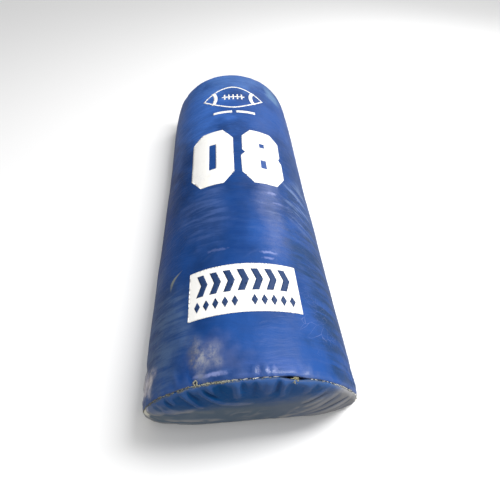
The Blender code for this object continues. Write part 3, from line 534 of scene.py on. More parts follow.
def cap_surface(side, places):
    """An end panel's points before it settles; side is -1 at the foot and 1 at the head."""
    size = sizes()
    arc, arch_x, arch_z, nx, nz = outline(1200, size.seam_dip)
    from_arch, which = nearest(places, np.stack([arch_x, arch_z], 1))
    along = arc[which]
    depth = np.minimum(from_arch, places[:, 1] - size.seam_dip)
    rim = np.clip(1 - depth / RIM, 0, 1)
    swell = size.cap_crown * (1 - (1 - np.clip(depth / 0.1, 0, 1)) ** 2.2)
    out = RIM_DEPTH * np.sqrt(1 - rim**2) + swell
    seed = 60 if side < 0 else 80
    spread = np.column_stack([places, np.full(len(places), float(side))])
    relief = 0.0012 * gathers(along, from_arch, 0.024, 0.03, 0.3, seed)
    relief += 0.0008 * gathers(along, from_arch, 0.01, 0.014, 0.0, seed + 3)
    relief += folded(places * np.array([-float(side), 1.0]), END_FOLDS)
    relief += 0.0016 * lumps(spread, 0.06, seed % 7) + 0.0006 * lumps(spread, 0.022, seed % 5)
    relief *= smooth(depth / 0.008) * 0.7 + 0.3
    deep, back = seam_wave(along, 0 if side < 0 else 1)
    hold = np.exp(-from_arch / 0.01)
    low = smooth(places[:, 1] / 0.03)
    points = np.column_stack([places[:, 0], side * (size.seam_y + out + relief - back * hold * low), places[:, 1]])
    normal = np.column_stack([nx[which], nz[which]])
    points[:, [0, 2]] -= normal * (deep * hold * low)[:, None]
    points[:, 0] += corner_shift(places[:, 0], places[:, 1], 0 * depth, 0.0, side) * np.exp(-depth / 0.012)
    points[:, 1] -= side * corner_draw(places[:, 0], places[:, 1], 0 * depth, side)
    points[:, 2] += corner_lift(places[:, 0], places[:, 1], 0 * depth)
    return points, along, depth


def shell(cover, caps, cap_faces):
    """One shell of the cover, both end panels and a plain back, with the numbers of each panel's points."""
    rows, columns = cover.shape[:2]
    grid = np.arange(rows * columns).reshape(rows, columns)
    faces = []
    for lower, upper in zip(grid, grid[1:]):
        faces += strip(lower, upper)
        faces.append((lower[0], upper[0], upper[-1], lower[-1]))
    points = [cover.reshape(-1, 3)]
    tables = []
    for row, cap in zip((0, -1), caps):
        first = sum(len(part) for part in points)
        table = np.concatenate([grid[row], np.arange(first, first + len(cap) - columns)])
        turned = [face[::-1] for face in cap_faces] if row else cap_faces
        faces += [tuple(table[i] for i in face) for face in turned]
        points.append(cap[columns:])
        tables.append(table)
    return np.concatenate(points), faces, tables


# The vinyl as cloth: firm, light, blown up from inside, pinned by "hold" and slackened by "slack"
CLOTH = {
    "quality": 6, "mass": 0.05, "tension_stiffness": 60, "compression_stiffness": 60, "shear_stiffness": 20,
    "bending_stiffness": 1.5, "use_pressure": True, "uniform_pressure_force": 4, "vertex_group_mass": "hold",
    "pin_stiffness": 1.0, "vertex_group_shrink": "slack", "shrink_min": 0.0, "shrink_max": -0.08,
}
CLOTH_FRAMES = 20


def settle(points, faces, hold, slack, reach):
    """Lets the shell settle as cloth blown up lightly from inside, and caps how far its points move."""
    scene = bpy.context.scene
    pad = bpy.data.objects.new("settling", make_mesh("settling", points, faces))
    scene.collection.objects.link(pad)
    for name, weights in (("hold", hold), ("slack", slack)):
        group = pad.vertex_groups.new(name=name)
        for number, weight in enumerate(weights):
            group.add([number], float(weight), "REPLACE")
    settings = pad.modifiers.new("cloth", "CLOTH").settings
    for name, value in CLOTH.items():
        setattr(settings, name, value)
    settings.effector_weights.gravity = 0
    for number in range(1, CLOTH_FRAMES + 1):
        scene.frame_set(number)
    depsgraph = bpy.context.evaluated_depsgraph_get()
    moved = read(pad.evaluated_get(depsgraph).data.vertices, "co")
    normals = read(pad.data.vertices, "normal")
    bpy.data.objects.remove(pad)
    scene.frame_set(1)
    shift = moved - points
    length = np.linalg.norm(shift, axis=1)
    shift *= np.minimum(1.0, reach / np.maximum(length, 1e-9))[:, None]
    inward = np.minimum((shift * normals).sum(axis=1) + INWARD_GIVE, 0.0)
    return points + shift - normals * inward[:, None]


def read(items, name, width=3):
    """One value of every vertex, edge or face as rows of numbers."""
    values = np.empty(len(items) * width, np.float32 if name != "vertices" else np.int32)
    items.foreach_get(name, values)
    return values.reshape(-1, width).astype(float if name != "vertices" else int)


def unevenness(points, faces, rounds):
    """How far each point stands out of the smoothed surface round it."""
    mesh = make_mesh("measure", points, faces)
    a, b = read(mesh.edges, "vertices", 2).T
    normals = read(mesh.vertices, "normal")
    bpy.data.meshes.remove(mesh)
    count = len(points)
    degree = np.maximum(np.bincount(np.concatenate([a, b]), minlength=count), 1)
    soft = np.array(points)
    for _ in range(rounds):
        soft = np.stack([
            (np.bincount(a, soft[b, axis], count) + np.bincount(b, soft[a, axis], count)) / degree
            for axis in range(3)
        ], axis=1)
    return ((points - soft) * normals).sum(axis=1)


def make_mesh(name, points, faces):
    """A mesh from points and faces, shaded smooth."""
    mesh = bpy.data.meshes.new(name)
    mesh.from_pydata([tuple(point) for point in points], [], [tuple(int(i) for i in face) for face in faces])
    mesh.update()
    mesh.shade_smooth()
    return mesh


def add_piece(name, mesh, finish, body="bag"):
    """Puts a finished mesh into the scene as a piece that rides on a body, or stands alone without one."""
    piece = bpy.data.objects.new(name, mesh)
    bpy.context.scene.collection.objects.link(piece)
    mesh.materials.clear()
    mesh.materials.append(finish)
    if body:
        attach(piece, body)
    return piece


def add_wall(piece, thickness, offset):
    """Gives a sheet its thickness."""
    wall = piece.modifiers.new("wall", "SOLIDIFY")
    wall.thickness = thickness
    wall.offset = offset


def write_attribute(mesh, name, values):
    """Stores a number for each point of a mesh."""
    made = mesh.attributes.new(name, "FLOAT", "POINT")
    made.data.foreach_set("value", np.asarray(values, np.float32))


def strip(first, second):
    """The quads between two rows of point numbers, facing up where the first row lies nearer."""
    return [(a, b, d, c) for a, b, c, d in zip(first, first[1:], second, second[1:])]


class Wire:
    """An output of a node, on which sums can be written."""

    def __init__(self, tree, socket):
        self.tree = tree
        self.socket = socket

    def __add__(self, other):
        return self.tree.maths("ADD", self, other)

    def __sub__(self, other):
        return self.tree.maths("SUBTRACT", self, other)

    def __rsub__(self, other):
        return self.tree.maths("SUBTRACT", other, self)

    def __mul__(self, other):
        return self.tree.maths("MULTIPLY", self, other)

    def __truediv__(self, other):
        return self.tree.maths("DIVIDE", self, other)

    __radd__ = __add__
    __rmul__ = __mul__


class Tree:
    """A node tree under construction."""

    def __init__(self, nodes):
        self.nodes = nodes

    def node(self, kind, settings=None, sockets=None, out=0):
        """Any node: its settings come first, then the values or links of its sockets."""
        made = self.nodes.nodes.new(kind)
        for name, value in (settings or {}).items():
            setattr(made, name, value)
        for key, value in (sockets or {}).items():
            self.feed(made.inputs[key], value)
        return Wire(self, made.outputs[out])

    def feed(self, socket, value):
        """Links a wire to a socket, or sets the socket's own value."""
        if isinstance(value, Wire):
            self.nodes.links.new(value.socket, socket)
        elif isinstance(value, tuple) and len(socket.default_value) == 4:
            socket.default_value = (*value, 1.0)[:4]
        else:
            socket.default_value = value

    def maths(self, operation, first, second=0.0, clamp=False):
        """A sum on two numbers."""
        return self.node("ShaderNodeMath", {"operation": operation, "use_clamp": clamp}, {0: first, 1: second})

    def clamp(self, value):
        """A number kept between 0 and 1."""
        return self.maths("ADD", value, 0.0, clamp=True)

    def between(self, value, low, high):
        """0 at low, 1 at high and a smooth way between them."""
        limits = {"Value": value, "From Min": low, "From Max": high}
        return self.node("ShaderNodeMapRange", {"interpolation_type": "SMOOTHSTEP"}, limits)

    def band(self, value, low, high, soft):
        """1 between two limits, with soft sides."""
        return self.between(value, low - soft, low + soft) * (1 - self.between(value, high - soft, high + soft))

    def blend(self, factor, first, second):
        """One colour over another by a factor."""
        return self.node("ShaderNodeMix", {"data_type": "RGBA"}, {0: factor, 6: first, 7: second}, out=2)

    def xyz(self, x, y, z):
        """A vector from three numbers."""
        return self.node("ShaderNodeCombineXYZ", None, {0: x, 1: y, 2: z})

    def vector(self, operation, first, second=(0.0, 0.0, 0.0), out=0):
        """A sum on two vectors."""
        return self.node("ShaderNodeVectorMath", {"operation": operation}, {0: first, 1: second}, out)


class Finish(Tree):
    """A material under construction, with the helpers that finishes share."""

    def __init__(self, name, shade=None, **fixed):
        self.shade = shade
        self.material = bpy.data.materials.new(name)
        self.material.use_nodes = True
        super().__init__(self.material.node_tree)
        self.shader = self.nodes.nodes["Principled BSDF"]
        self.set(**fixed)
        self.place = self.node("ShaderNodeTexCoord", out="Object")
        self.x, self.y, self.z = (self.node("ShaderNodeSeparateXYZ", None, {0: self.place}, axis) for axis in "XYZ")

    def set(self, **sockets):
        """Feeds the shader's sockets; an underscore stands for a space."""
        for key, value in sockets.items():
            self.feed(self.shader.inputs[key.replace("_", " ")], value)

    def scaled(self, x=1.0, y=1.0, z=1.0, place=None):
        """The place on the piece, stretched."""
        return self.vector("MULTIPLY", place or self.place, (x, y, z))

    def clouds(self, scale, detail=2.0, place=None, roughness=0.5, warp=0.0):
        """Soft noise from 0 to 1."""
        values = {"Vector": place or self.place, "Scale": scale, "Detail": detail}
        values |= {"Roughness": roughness, "Distortion": warp}
        return self.node("ShaderNodeTexNoise", None, values)

    def blots(self, scale, detail, roughness, low, high):
        """Noise cut into soft-edged blots from 0 to 1."""
        return self.between(self.clouds(scale, detail, roughness=roughness), low, high)

    def cracks(self, scale, place=None):
        """The distance to the borders between random cells."""
        values = {"Vector": place or self.place, "Scale": scale}
        return self.node("ShaderNodeTexVoronoi", {"feature": "DISTANCE_TO_EDGE"}, values)

    def warped(self, scale, amount):
        """The place on the piece, pushed about by noise."""
        values = {"Vector": self.place, "Scale": scale, "Detail": 2.0}
        push = self.vector("SUBTRACT", self.node("ShaderNodeTexNoise", None, values, "Color"), (0.5, 0.5, 0.5))
        return self.vector("ADD", self.place, self.vector("MULTIPLY", push, (amount, amount, amount)))

    def streaks(self, along, across, slant, detail=4.0):
        """Noise drawn out across the bag; slant leans it towards the foot on the right."""
        lane = self.xyz((self.x - self.y * slant) * along, (self.y + self.x * slant) * across, self.z * along)
        return self.node("ShaderNodeTexNoise", None, {
            "Vector": lane, "Scale": 1.0, "Detail": detail, "Roughness": 0.6, "Distortion": 0.35})

    def attribute(self, name):
        """A number stored on the mesh."""
        return self.node("ShaderNodeAttribute", {"attribute_name": name}, out="Fac")

    def spot(self, centre, reach, ragged=0.25, scale=30.0):
        """1 at a place on the piece, falling to 0 with a ragged edge."""
        spread = self.vector("DIVIDE", self.vector("SUBTRACT", self.place, centre), reach)
        distance = self.vector("LENGTH", spread, out="Value")
        edge = distance + (self.clouds(scale, 4.0) - 0.5) * (4 * ragged)
        return 1 - self.between(edge, 1 - ragged, 1 + ragged)

    def paint(self, mask, tone):
        """Lays a tone over the colour so far, by a mask from 0 to 1."""
        self.shade = self.blend(mask, self.shade, tone)

    def done(self, height, **sockets):
        """Feeds the colour, the other sockets and a relief in metres, and gives the material."""
        bump = self.node("ShaderNodeBump", None, {"Strength": 1.0, "Distance": 1.0, "Height": height})
        self.set(Base_Color=self.shade, Normal=bump, **sockets)
        return self.material


# Tints of the vinyl that differ from place to place: centre, reach, colour and strength.
# They are deep blue stretches on the left and along the crown, painted shade on the right side, painted lilac sheen
# either side of the crown, painted light at the head end with a painted highlight on its right shoulder,
# and paler blue patches near the left foot and over the foot seam.
VINYL_TONES_AND_PAINTED_LIGHT = (
    # Deep blue low on the left side
    ((-0.23, -0.1, 0.1), (0.045, 0.62, 0.13), (0.003, 0.05, 0.27), 0.95),
    # Painted shade: the right side made darker, low down and at mid height
    ((0.205, -0.36, 0.11), (0.085, 0.28, 0.15), (0.012, 0.038, 0.1), 0.92),
    ((0.19, -0.08, 0.14), (0.06, 0.22, 0.09), (0.016, 0.047, 0.14), 0.6),
    # Deep blue along the crown
    ((0.000, -0.24, 0.229), (0.034, 0.17, 0.05), (0.004, 0.038, 0.175), 0.85),
    ((0.000, 0.00, 0.229), (0.04, 0.12, 0.05), (0.006, 0.05, 0.21), 0.6),
    # Painted lilac sheen right and left of the crown
    ((0.08, -0.19, 0.213), (0.03, 0.13, 0.05), (0.095, 0.13, 0.3), 0.45),
    ((-0.085, -0.17, 0.212), (0.055, 0.12, 0.06), (0.066, 0.12, 0.315), 0.62),
    # Painted light at the head end, and a painted highlight on the head's right shoulder
    ((-0.13, 0.4, 0.18), (0.11, 0.26, 0.12), (0.048, 0.15, 0.5), 0.9),
    ((0.000, 0.56, 0.229), (0.15, 0.08, 0.12), (0.07, 0.165, 0.43), 0.7),
    ((0.165, 0.53, 0.16), (0.03, 0.05, 0.05), (0.23, 0.39, 0.52), 0.42),
    # Paler blue patches beside the left foot and over the foot seam
    ((-0.185, -0.46, 0.13), (0.075, 0.14, 0.1), (0.11, 0.18, 0.32), 0.64),
    ((0.045, -0.585, 0.224), (0.06, 0.022, 0.05), (0.06, 0.12, 0.39), 0.5),
)
HEAD_TINTS_FROM = 0.3
EVEN_SHARE, HEAD_EVEN_SHARE = 0.3, 0.75

# Small lilac glints on the cover's wrinkles: x, y, z, reach across, reach along and strength
VINYL_GLINTS = (
    (-0.056, -0.5905, 0.22, 0.015, 0.003, 0.55), (0.021, -0.592, 0.225, 0.004, 0.0065, 0.16),
    (0.035, -0.5925, 0.225, 0.0032, 0.0055, 0.24), (0.047, -0.5925, 0.224, 0.0038, 0.0065, 0.18),
    (-0.088, -0.588, 0.207, 0.008, 0.0025, 0.3), (0.092, -0.113, 0.211, 0.012, 0.004, 0.4),
    (0.063, -0.326, 0.2206, 0.012, 0.0032, 0.5), (0.061, -0.342, 0.221, 0.01, 0.0028, 0.4),
    (0.105, -0.15, 0.205, 0.01, 0.003, 0.3), (-0.049, -0.312, 0.224, 0.018, 0.003, 0.15),
)
GLINT_DEPTH = 0.02


class Vinyl(Finish):
    """Blue coated fabric: uneven sheen, partly painted, with painted shade and highlights, fine crumples, scuffs and
    ground-in dirt.
    """

    def __init__(self, name, dirt=0.0):
        super().__init__(name, IOR=1.47, Specular_IOR_Level=0.09, Coat_Roughness=0.16)
        self.fold, self.seam = self.attribute("fold"), self.attribute("seam")
        self.streaky = self.clouds(6.0, 6.0, self.scaled(1.8, 0.8, 1.8), 0.62)
        self.right = self.between(self.x, -0.03, 0.1)
        self.wrinkles = self.between(self.streaks(9.0, 62.0, 0.05), 0.4, 0.62)
        self.slanting = self.between(self.streaks(7.0, 75.0, 0.75), 0.5, 0.6)
        self.paint_blue_and_sheen()
        if name == "end_vinyl":
            right = self.between(self.x, 0.02, 0.12)
            self.paint(0.75, self.blend(right, (0.002, 0.08, 0.262), (0.018, 0.105, 0.3)))
        self.paint_tones_and_light()
        if name == "cover_vinyl":
            self.glints()
        # Fold crests made lighter, partly wear and partly painted highlight, and fold valleys darker as painted shade
        self.paint(self.between(self.fold, 0.2, 1.4) * (0.18 + 0.2 * dirt), (0.1, 0.165, 0.38))
        self.paint(self.between(self.fold * -1.0, 0.2, 1.6) * 0.42, (0.003, 0.014, 0.065))
        self.dust(dirt, name == "end_vinyl")
        self.scratches()
        self.foot_marks()
        if name in ("cover_vinyl", "end_vinyl"):
            self.soiled_edges(name == "cover_vinyl")
        if name == "end_vinyl":
            self.scrim()
        self.surface()

    def paint_blue_and_sheen(self):
        """The blue, with a painted lilac sheen right of the crown and at the head end."""
        base = colour("cover")
        deep = darker(base, 0.66)
        light = (base[0] * 1.5, base[1] * 1.42, base[2] * 1.4)
        self.shade = self.blend(self.blots(4.5, 4.0, 0.6, 0.32, 0.68), deep, light)
        # Streaky noise that breaks up the painted sheen
        rubbed = self.clouds(22.0, 6.0, self.scaled(0.35, 2.6, 0.6), 0.72)
        place = self.clamp(self.right + self.between(self.y, 0.3, 0.58) * 0.5)
        painted_sheen = self.between(self.streaky, 0.4, 0.7) * (0.03 + place * 0.13)
        painted_sheen = painted_sheen + self.between(rubbed, 0.48, 0.72) * (0.03 + place * 0.13)
        self.paint(painted_sheen, (0.105, 0.145, 0.33))

    def paint_tones_and_light(self):
        """Tints, painted shade, painted sheen and painted light from place to place, broken up by wrinkles except at
        the head end.
        """
        for centre, reach, tone, most in VINYL_TONES_AND_PAINTED_LIGHT:
            even = EVEN_SHARE if centre[1] < HEAD_TINTS_FROM else HEAD_EVEN_SHARE
            self.paint(self.spot(centre, reach, 0.6, 14.0) * (even + (1 - even) * self.wrinkles) * most, tone)

    def glints(self):
        """Painted highlights on crinkles right of the numerals, painted glints on the wrinkles, and a rusty stain at
        the right foot corner.
        """
        # Painted highlights along slanting crinkles right of the numerals
        crinkle_highlights = self.spot((0.172, -0.11, 0.155), (0.045, 0.1, 0.06), 0.7, 16.0) * self.slanting
        self.paint(crinkle_highlights * 0.6, (0.15, 0.22, 0.4))
        for x, y, z, wide, long, most in VINYL_GLINTS:
            self.paint(self.spot((x, y, z), (wide, long, GLINT_DEPTH), 0.8, 120.0) * most, (0.34, 0.38, 0.68))
        rust = self.spot((0.226, -0.598, 0.06), (0.01, 0.01, 0.034), 0.5, 80.0)
        self.paint(rust * 0.8, (0.3, 0.16, 0.08))

    def dust(self, dirt, on_end):
        """Dirt low down and along the seams; an end panel has it up to a slanting edge. In its tone, fold crests get
        a painted highlight and fold valleys painted shade.
        """
        low = 1 - self.between(self.z, 0.0, 0.05 + 0.16 * dirt)
        grime = self.clouds(13.0, 7.0, self.scaled(0.6, 1.0, 1.5), 0.7)
        if on_end:
            edge = 0.168 + self.x * 0.06 - self.x * self.x * 0.7 + (grime - 0.5) * 0.07
            dusty = (1 - self.between(self.z - edge, -0.03, 0.014)) * (0.72 + 0.3 * grime)
        else:
            dusty = self.clamp(low * (0.4 + 0.6 * dirt) + dirt * 0.1) * self.between(grime, 0.22, 0.62)
            dusty = self.clamp(dusty + self.seam * self.between(grime, 0.5, 0.75) * 0.3)
        tone = self.blend(self.between(self.x, -0.02, 0.19), (0.148, 0.19, 0.22), (0.262, 0.272, 0.312))
        # Painted highlight on fold crests and painted shade in fold valleys, within the dust's tone
        tone = self.blend(self.between(self.fold, -0.1, 1.2) * 0.75, tone, (0.44, 0.42, 0.38))
        tone = self.blend(self.between(self.fold * -1.0, 0.2, 1.8) * 0.6, tone, (0.04, 0.062, 0.1))
        self.paint(dusty * 0.92, tone)
        self.dusty = dusty

    def scratches(self):
        """Short pale scratches that run across the bag."""
        scrape = self.cracks(9.0, self.scaled(0.5, 9.0, 5.0, self.warped(5.0, 0.25)))
        scratch = (1 - self.between(scrape, 0.0, 0.02)) * self.blots(11.0, 4.0, 0.5, 0.54, 0.68)
        self.paint(scratch * (0.08 + self.right * 0.26), (0.26, 0.3, 0.55))
        self.scratch = scratch

    def foot_marks(self):
        """The yellow scuff, the patch of grey dust over the foot seam, and a pale painted reflection of the floor on
        the crumpled strip at the left corner.
        """
        speckle = self.clouds(120.0, 6.0, roughness=0.72)
        reach = self.clamp((self.y + 0.374) / 0.039)
        middle = reach * reach * reach * 0.0255 - 0.1575
        aside = self.maths("ABSOLUTE", self.x - middle + (speckle - 0.5) * 0.004)
        taper = self.between(self.y, -0.386, -0.352) * (1 - self.between(self.y, -0.345, -0.332))
        scuff = (1 - self.between(aside, 0.001, 0.002 + taper * 0.005)) * taper
        self.paint(scuff * self.between(self.z, 0.12, 0.15) * 0.8, (0.27, 0.285, 0.22))
        smear = self.clouds(34.0, 7.0, self.scaled(1.2, 0.9, 1.0), 0.66)
        patch = self.spot((-0.076, -0.56, 0.213), (0.019, 0.021, 0.04), 1.0, 30.0)
        trail = self.spot((-0.094, -0.535, 0.208), (0.014, 0.02, 0.04), 1.0, 30.0) * 0.32
        wing = self.spot((-0.05, -0.55, 0.22), (0.04, 0.026, 0.04), 1.0, 24.0)
        patch = self.clamp((patch + trail) * self.between(smear, 0.3, 0.62) * 1.2)
        patch = patch * self.between(speckle, 0.22, 0.66)
        inner = self.between(self.x + (smear - 0.5) * 0.07, -0.104, -0.078)
        self.paint(wing * 0.22, (0.2, 0.23, 0.42))
        self.paint(patch * 0.82, self.blend(inner, (0.2, 0.175, 0.1), (0.34, 0.345, 0.36)))
        self.patch = patch
        # Painted reflection: the pale floor mirrored in the crumpled vinyl at the left foot corner
        floor_reflection = self.spot((-0.206, -0.562, 0.095), (0.034, 0.024, 0.06), 0.7, 34.0)
        floor_reflection = floor_reflection * self.blots(38.0, 6.0, 0.7, 0.3, 0.58)
        self.paint(floor_reflection * 0.9, (0.72, 0.67, 0.67))

    def soiled_edges(self, with_hole_shade):
        """Painted shade in the small hole over the foot seam, and that seam's soiled, frayed edges."""
        if with_hole_shade:
            # Painted shade: a dark spot where the hole's inside lies in shadow
            hole = self.spot((-0.0895, -0.5985, 0.2065), (0.003, 0.003, 0.006), 0.3, 300.0)
            self.paint(hole, (0.006, 0.006, 0.008))
        edge = self.between(self.seam, 0.84, 0.93) * self.blots(95.0, 5.0, 0.7, 0.4, 0.54)
        edge = edge * (1 - self.between(self.y, -0.55, -0.5))
        self.paint(edge * (0.35 + 0.65 * self.between(self.x * -1.0, -0.02, 0.06)) * 0.8, (0.16, 0.155, 0.1))

    def scrim(self):
        """The fabric's pale back, which shows in two places at the foot panel's left edge."""
        foot = 1 - self.between(self.y, -0.1, 0.1)
        for centre, reach, most, tone in (
            ((-0.2, -0.61, 0.1), (0.0065, 0.06, 0.015), 1.0, (0.8, 0.77, 0.66)),
            ((-0.1935, -0.61, 0.122), (0.003, 0.06, 0.01), 0.7, (0.5, 0.5, 0.62)),
        ):
            self.paint(self.spot(centre, reach, 0.4, 130.0) * foot * most, tone)

    def surface(self):
        """Bare fabric where the coating has worn through, then the gloss and the fine relief."""
        wear = self.attribute("wear")
        bare = self.between(wear + (self.clouds(90.0, 5.0, roughness=0.7) - 0.5) * 1.6, 0.5, 0.62)
        self.paint(bare, (0.82, 0.79, 0.66))
        rough = 0.33 + self.between(self.streaky, 0.4, 0.8) * 0.12
        rough = rough + self.dusty * 0.3 + self.scratch * 0.1 + self.patch * 0.35 + bare * 0.4
        crumpled_spot = self.spot((0.125, -0.16, 0.195), (0.075, 0.17, 0.09), 0.5, 12.0)
        gloss = self.band(self.x, -0.02, 0.13, 0.05) * 0.1 + crumpled_spot * 0.16
        gloss = gloss + self.between(self.fold, 0.3, 1.2) * 0.12
        gloss = self.clamp(gloss * (1 - self.clamp(self.dusty + self.patch)))
        creases = self.cracks(30.0, self.warped(22.0, 0.045))
        fine = self.cracks(110.0, self.warped(70.0, 0.012))
        soft = self.clouds(34.0, 3.0, self.scaled(0.8, 1.0, 1.0), 0.5, 0.4)
        height = (soft - 0.5) * 0.0006 + self.between(creases, 0.0, 0.3) * 0.00018
        height = height + self.between(fine, 0.0, 0.3) * 0.00004
        wrinkle = self.clouds(26.0, 4.0, self.scaled(0.45, 2.4, 0.7, self.warped(9.0, 0.08)), 0.55)
        height = height + self.maths("ABSOLUTE", wrinkle - 0.5) * (0.0018 + crumpled_spot * 0.0065)
        height = height + self.wrinkles * (0.00008 + crumpled_spot * 0.0002)
        height = height + self.slanting * crumpled_spot * 0.0006
        height = height + (self.clouds(1500.0, 2.0) - 0.5) * 0.00003
        self.done(height, Roughness=self.clamp(rough), Coat_Weight=gloss)


def ink_finish(name, base):
    """Screen-printed ink: chalky, with fine cracks, thin spots and faint stains."""
    finish = Finish(name, base, IOR=1.45, Specular_IOR_Level=0.25)
    stained = tuple(part * mark for part, mark in zip(base, (0.92, 0.88, 0.66)))
    finish.paint(finish.blots(9.0, 5.0, 0.65, 0.55, 0.78) * 0.35, stained)
    cell = finish.cracks(60.0, finish.warped(26.0, 0.02))
    crazed = (1 - finish.between(cell, 0.0, 0.018)) * finish.blots(7.0, 3.0, 0.5, 0.52, 0.66)
    gone = finish.clamp(crazed * 0.35 + finish.blots(210.0, 4.0, 0.75, 0.7, 0.76) * 0.4)
    finish.paint(gone, colour("cover"))
    soil = finish.blots(26.0, 6.0, 0.72, 0.55, 0.8)
    finish.paint(soil * 0.16, (0.3, 0.28, 0.22))
    soft = finish.clouds(42.0, 3.0, finish.scaled(1.0, 0.6, 1.0), 0.55, 0.4)
    height = (soft - 0.5) * 0.0004 + (finish.clouds(1100.0, 2.0) - 0.5) * 0.00004 - gone * 0.0001
    return finish.done(height, Roughness=finish.clamp(0.5 + soil * 0.2))


def thread_finish(name, base):
    """Twisted thread, frayed and soiled in places."""
    finish = Finish(name, base, Roughness=0.85, Specular_IOR_Level=0.25)
    finish.paint(finish.blots(45.0, 4.0, 0.7, 0.42, 0.7) * 0.6, (0.2, 0.17, 0.09))
    twist = finish.clouds(2600.0, 1.0, finish.scaled(0.4, 1.0, 1.0))
    return finish.done((twist - 0.5) * 0.00012)


def foam_finish(name, base, crumbs=0.0):
    """Open-cell foam; with crumbs it is rebonded from pieces of several colours."""
    finish = Finish(name, base, Roughness=0.95, Specular_IOR_Level=0.2)
    finish.paint(finish.blots(11.0, 4.0, 0.6, 0.35, 0.7) * 0.4, darker(base, 0.7))
    if crumbs:
        cell = finish.node("ShaderNodeTexVoronoi", None, {"Vector": finish.place, "Scale": 90.0}, "Color")
        pick = finish.node("ShaderNodeSeparateColor", None, {0: cell}, 0)
        finish.paint(finish.between(pick, 0.3, 0.5) * crumbs, (0.12, 0.22, 0.45))
        finish.paint(finish.between(pick, 0.7, 0.8) * crumbs, (0.5, 0.2, 0.18))
    return finish.done(finish.between(finish.cracks(520.0), 0.0, 0.35) * -0.0004)


def weave_finish(name, base, pitch, sheen=0.25):
    """Woven webbing or tape, with its yarns crossing over and under along the bag."""
    finish = Finish(name, darker(base, 0.5), Roughness=0.75, Specular_IOR_Level=0.3, Sheen_Weight=sheen)
    turn = 2 * math.pi / pitch
    across = finish.maths("SINE", finish.x * turn)
    yarn = finish.between(across * finish.maths("SINE", finish.y * (turn * 0.6)), -0.9, 0.9)
    fuzz = finish.clouds(420.0, 3.0, roughness=0.7)
    finish.paint(yarn * 0.55, darker(base, 1.5))
    finish.paint(finish.blots(20.0, 6.0, 0.7, 0.45, 0.75) * 0.22, (0.2, 0.19, 0.17))
    ridges = finish.maths("ABSOLUTE", across)
    return finish.done(yarn * (pitch * 0.09) + ridges * (pitch * 0.05) + (fuzz - 0.5) * (pitch * 0.05))


def zipper_finish(name):
    """Woven black tape with moulded teeth in the middle; the teeth are rubbed and grey."""
    finish = Finish(name, (0.02, 0.02, 0.023), Specular_IOR_Level=0.4)
    beyond = finish.between(finish.maths("ABSOLUTE", finish.x), 0.0044, 0.0046)
    checks = finish.maths("SINE", finish.x * 5200.0) * finish.maths("SINE", finish.y * 3900.0)
    cloth = finish.blend(finish.between(checks, -0.9, 0.9), (0.01, 0.01, 0.012), (0.035, 0.035, 0.04))
    finish.paint(finish.blots(160.0, 4.0, 0.7, 0.5, 0.75) * 0.5, (0.12, 0.12, 0.12))
    finish.paint(beyond, cloth)
    dusty = finish.blots(30.0, 5.0, 0.7, 0.5, 0.78)
    finish.paint(dusty * 0.3, (0.18, 0.17, 0.15))
    return finish.done(checks * beyond * 0.00006, Roughness=finish.clamp(0.42 + beyond * 0.4 + dusty * 0.15))


def metal_finish(name):
    """Nickel plate, rubbed bright on the high places and dull between."""
    finish = Finish(name, colour("metal"), Metallic=1.0)
    dull = finish.blots(220.0, 5.0, 0.7, 0.42, 0.68)
    brushed = finish.clouds(900.0, 3.0, finish.scaled(1.0, 0.12, 1.0))
    finish.paint(dull * 0.6, darker(colour("metal"), 0.55))
    height = (brushed - 0.5) * 0.00002 + (dull - 0.5) * -0.00002
    return finish.done(height, Roughness=finish.clamp(0.22 + dull * 0.25 + brushed * 0.1))


class Skin:
    """Reads places on the finished cover."""

    def __init__(self):
        piece = bpy.data.objects["front_cover_skin"]
        rows, columns = piece["rows"], piece["columns"]
        self.points = read(piece.data.vertices, "co").reshape(rows + 2, columns, 3)[1:-1]
        self.along = np.array(piece["along"])
        self.places = np.array(piece["places"])
        normals = np.cross(np.gradient(self.points, axis=1), np.gradient(self.points, axis=0))
        self.normals = normals / np.linalg.norm(normals, axis=2, keepdims=True)

    def at(self, spots, lift):
        """Points at a height over places on the cover, and the ways up there."""
        along, y = np.array(spots, float).T
        j = np.clip(np.searchsorted(self.along, along) - 1, 0, len(self.along) - 2)
        i = np.clip(np.searchsorted(self.places, y) - 1, 0, len(self.places) - 2)
        v = ((along - self.along[j]) / (self.along[j + 1] - self.along[j]))[:, None]
        u = ((y - self.places[i]) / (self.places[i + 1] - self.places[i]))[:, None]
        found = []
        for field in (self.points, self.normals):
            near = field[i, j] * (1 - v) + field[i, j + 1] * v
            far = field[i + 1, j] * (1 - v) + field[i + 1, j + 1] * v
            found.append(near * (1 - u) + far * u)
        return found[0] + found[1] * lift, found[1]

    def nodes(self, low, high):
        """The places of the cover's own points within a box."""
        along = self.along[(self.along > low[0]) & (self.along < high[0])]
        places = self.places[(self.places > low[1]) & (self.places < high[1])]
        return np.stack(np.meshgrid(along, places), axis=-1).reshape(-1, 2)


def dense(ring, step):
    """A closed outline with more points on its sides."""
    spots = []
    for a, b in zip(ring, [*ring[1:], ring[0]]):
        count = max(1, math.ceil(math.dist(a, b) / step))
        spots += [(a[0] + (b[0] - a[0]) * i / count, a[1] + (b[1] - a[1]) * i / count) for i in range(count)]
    return spots


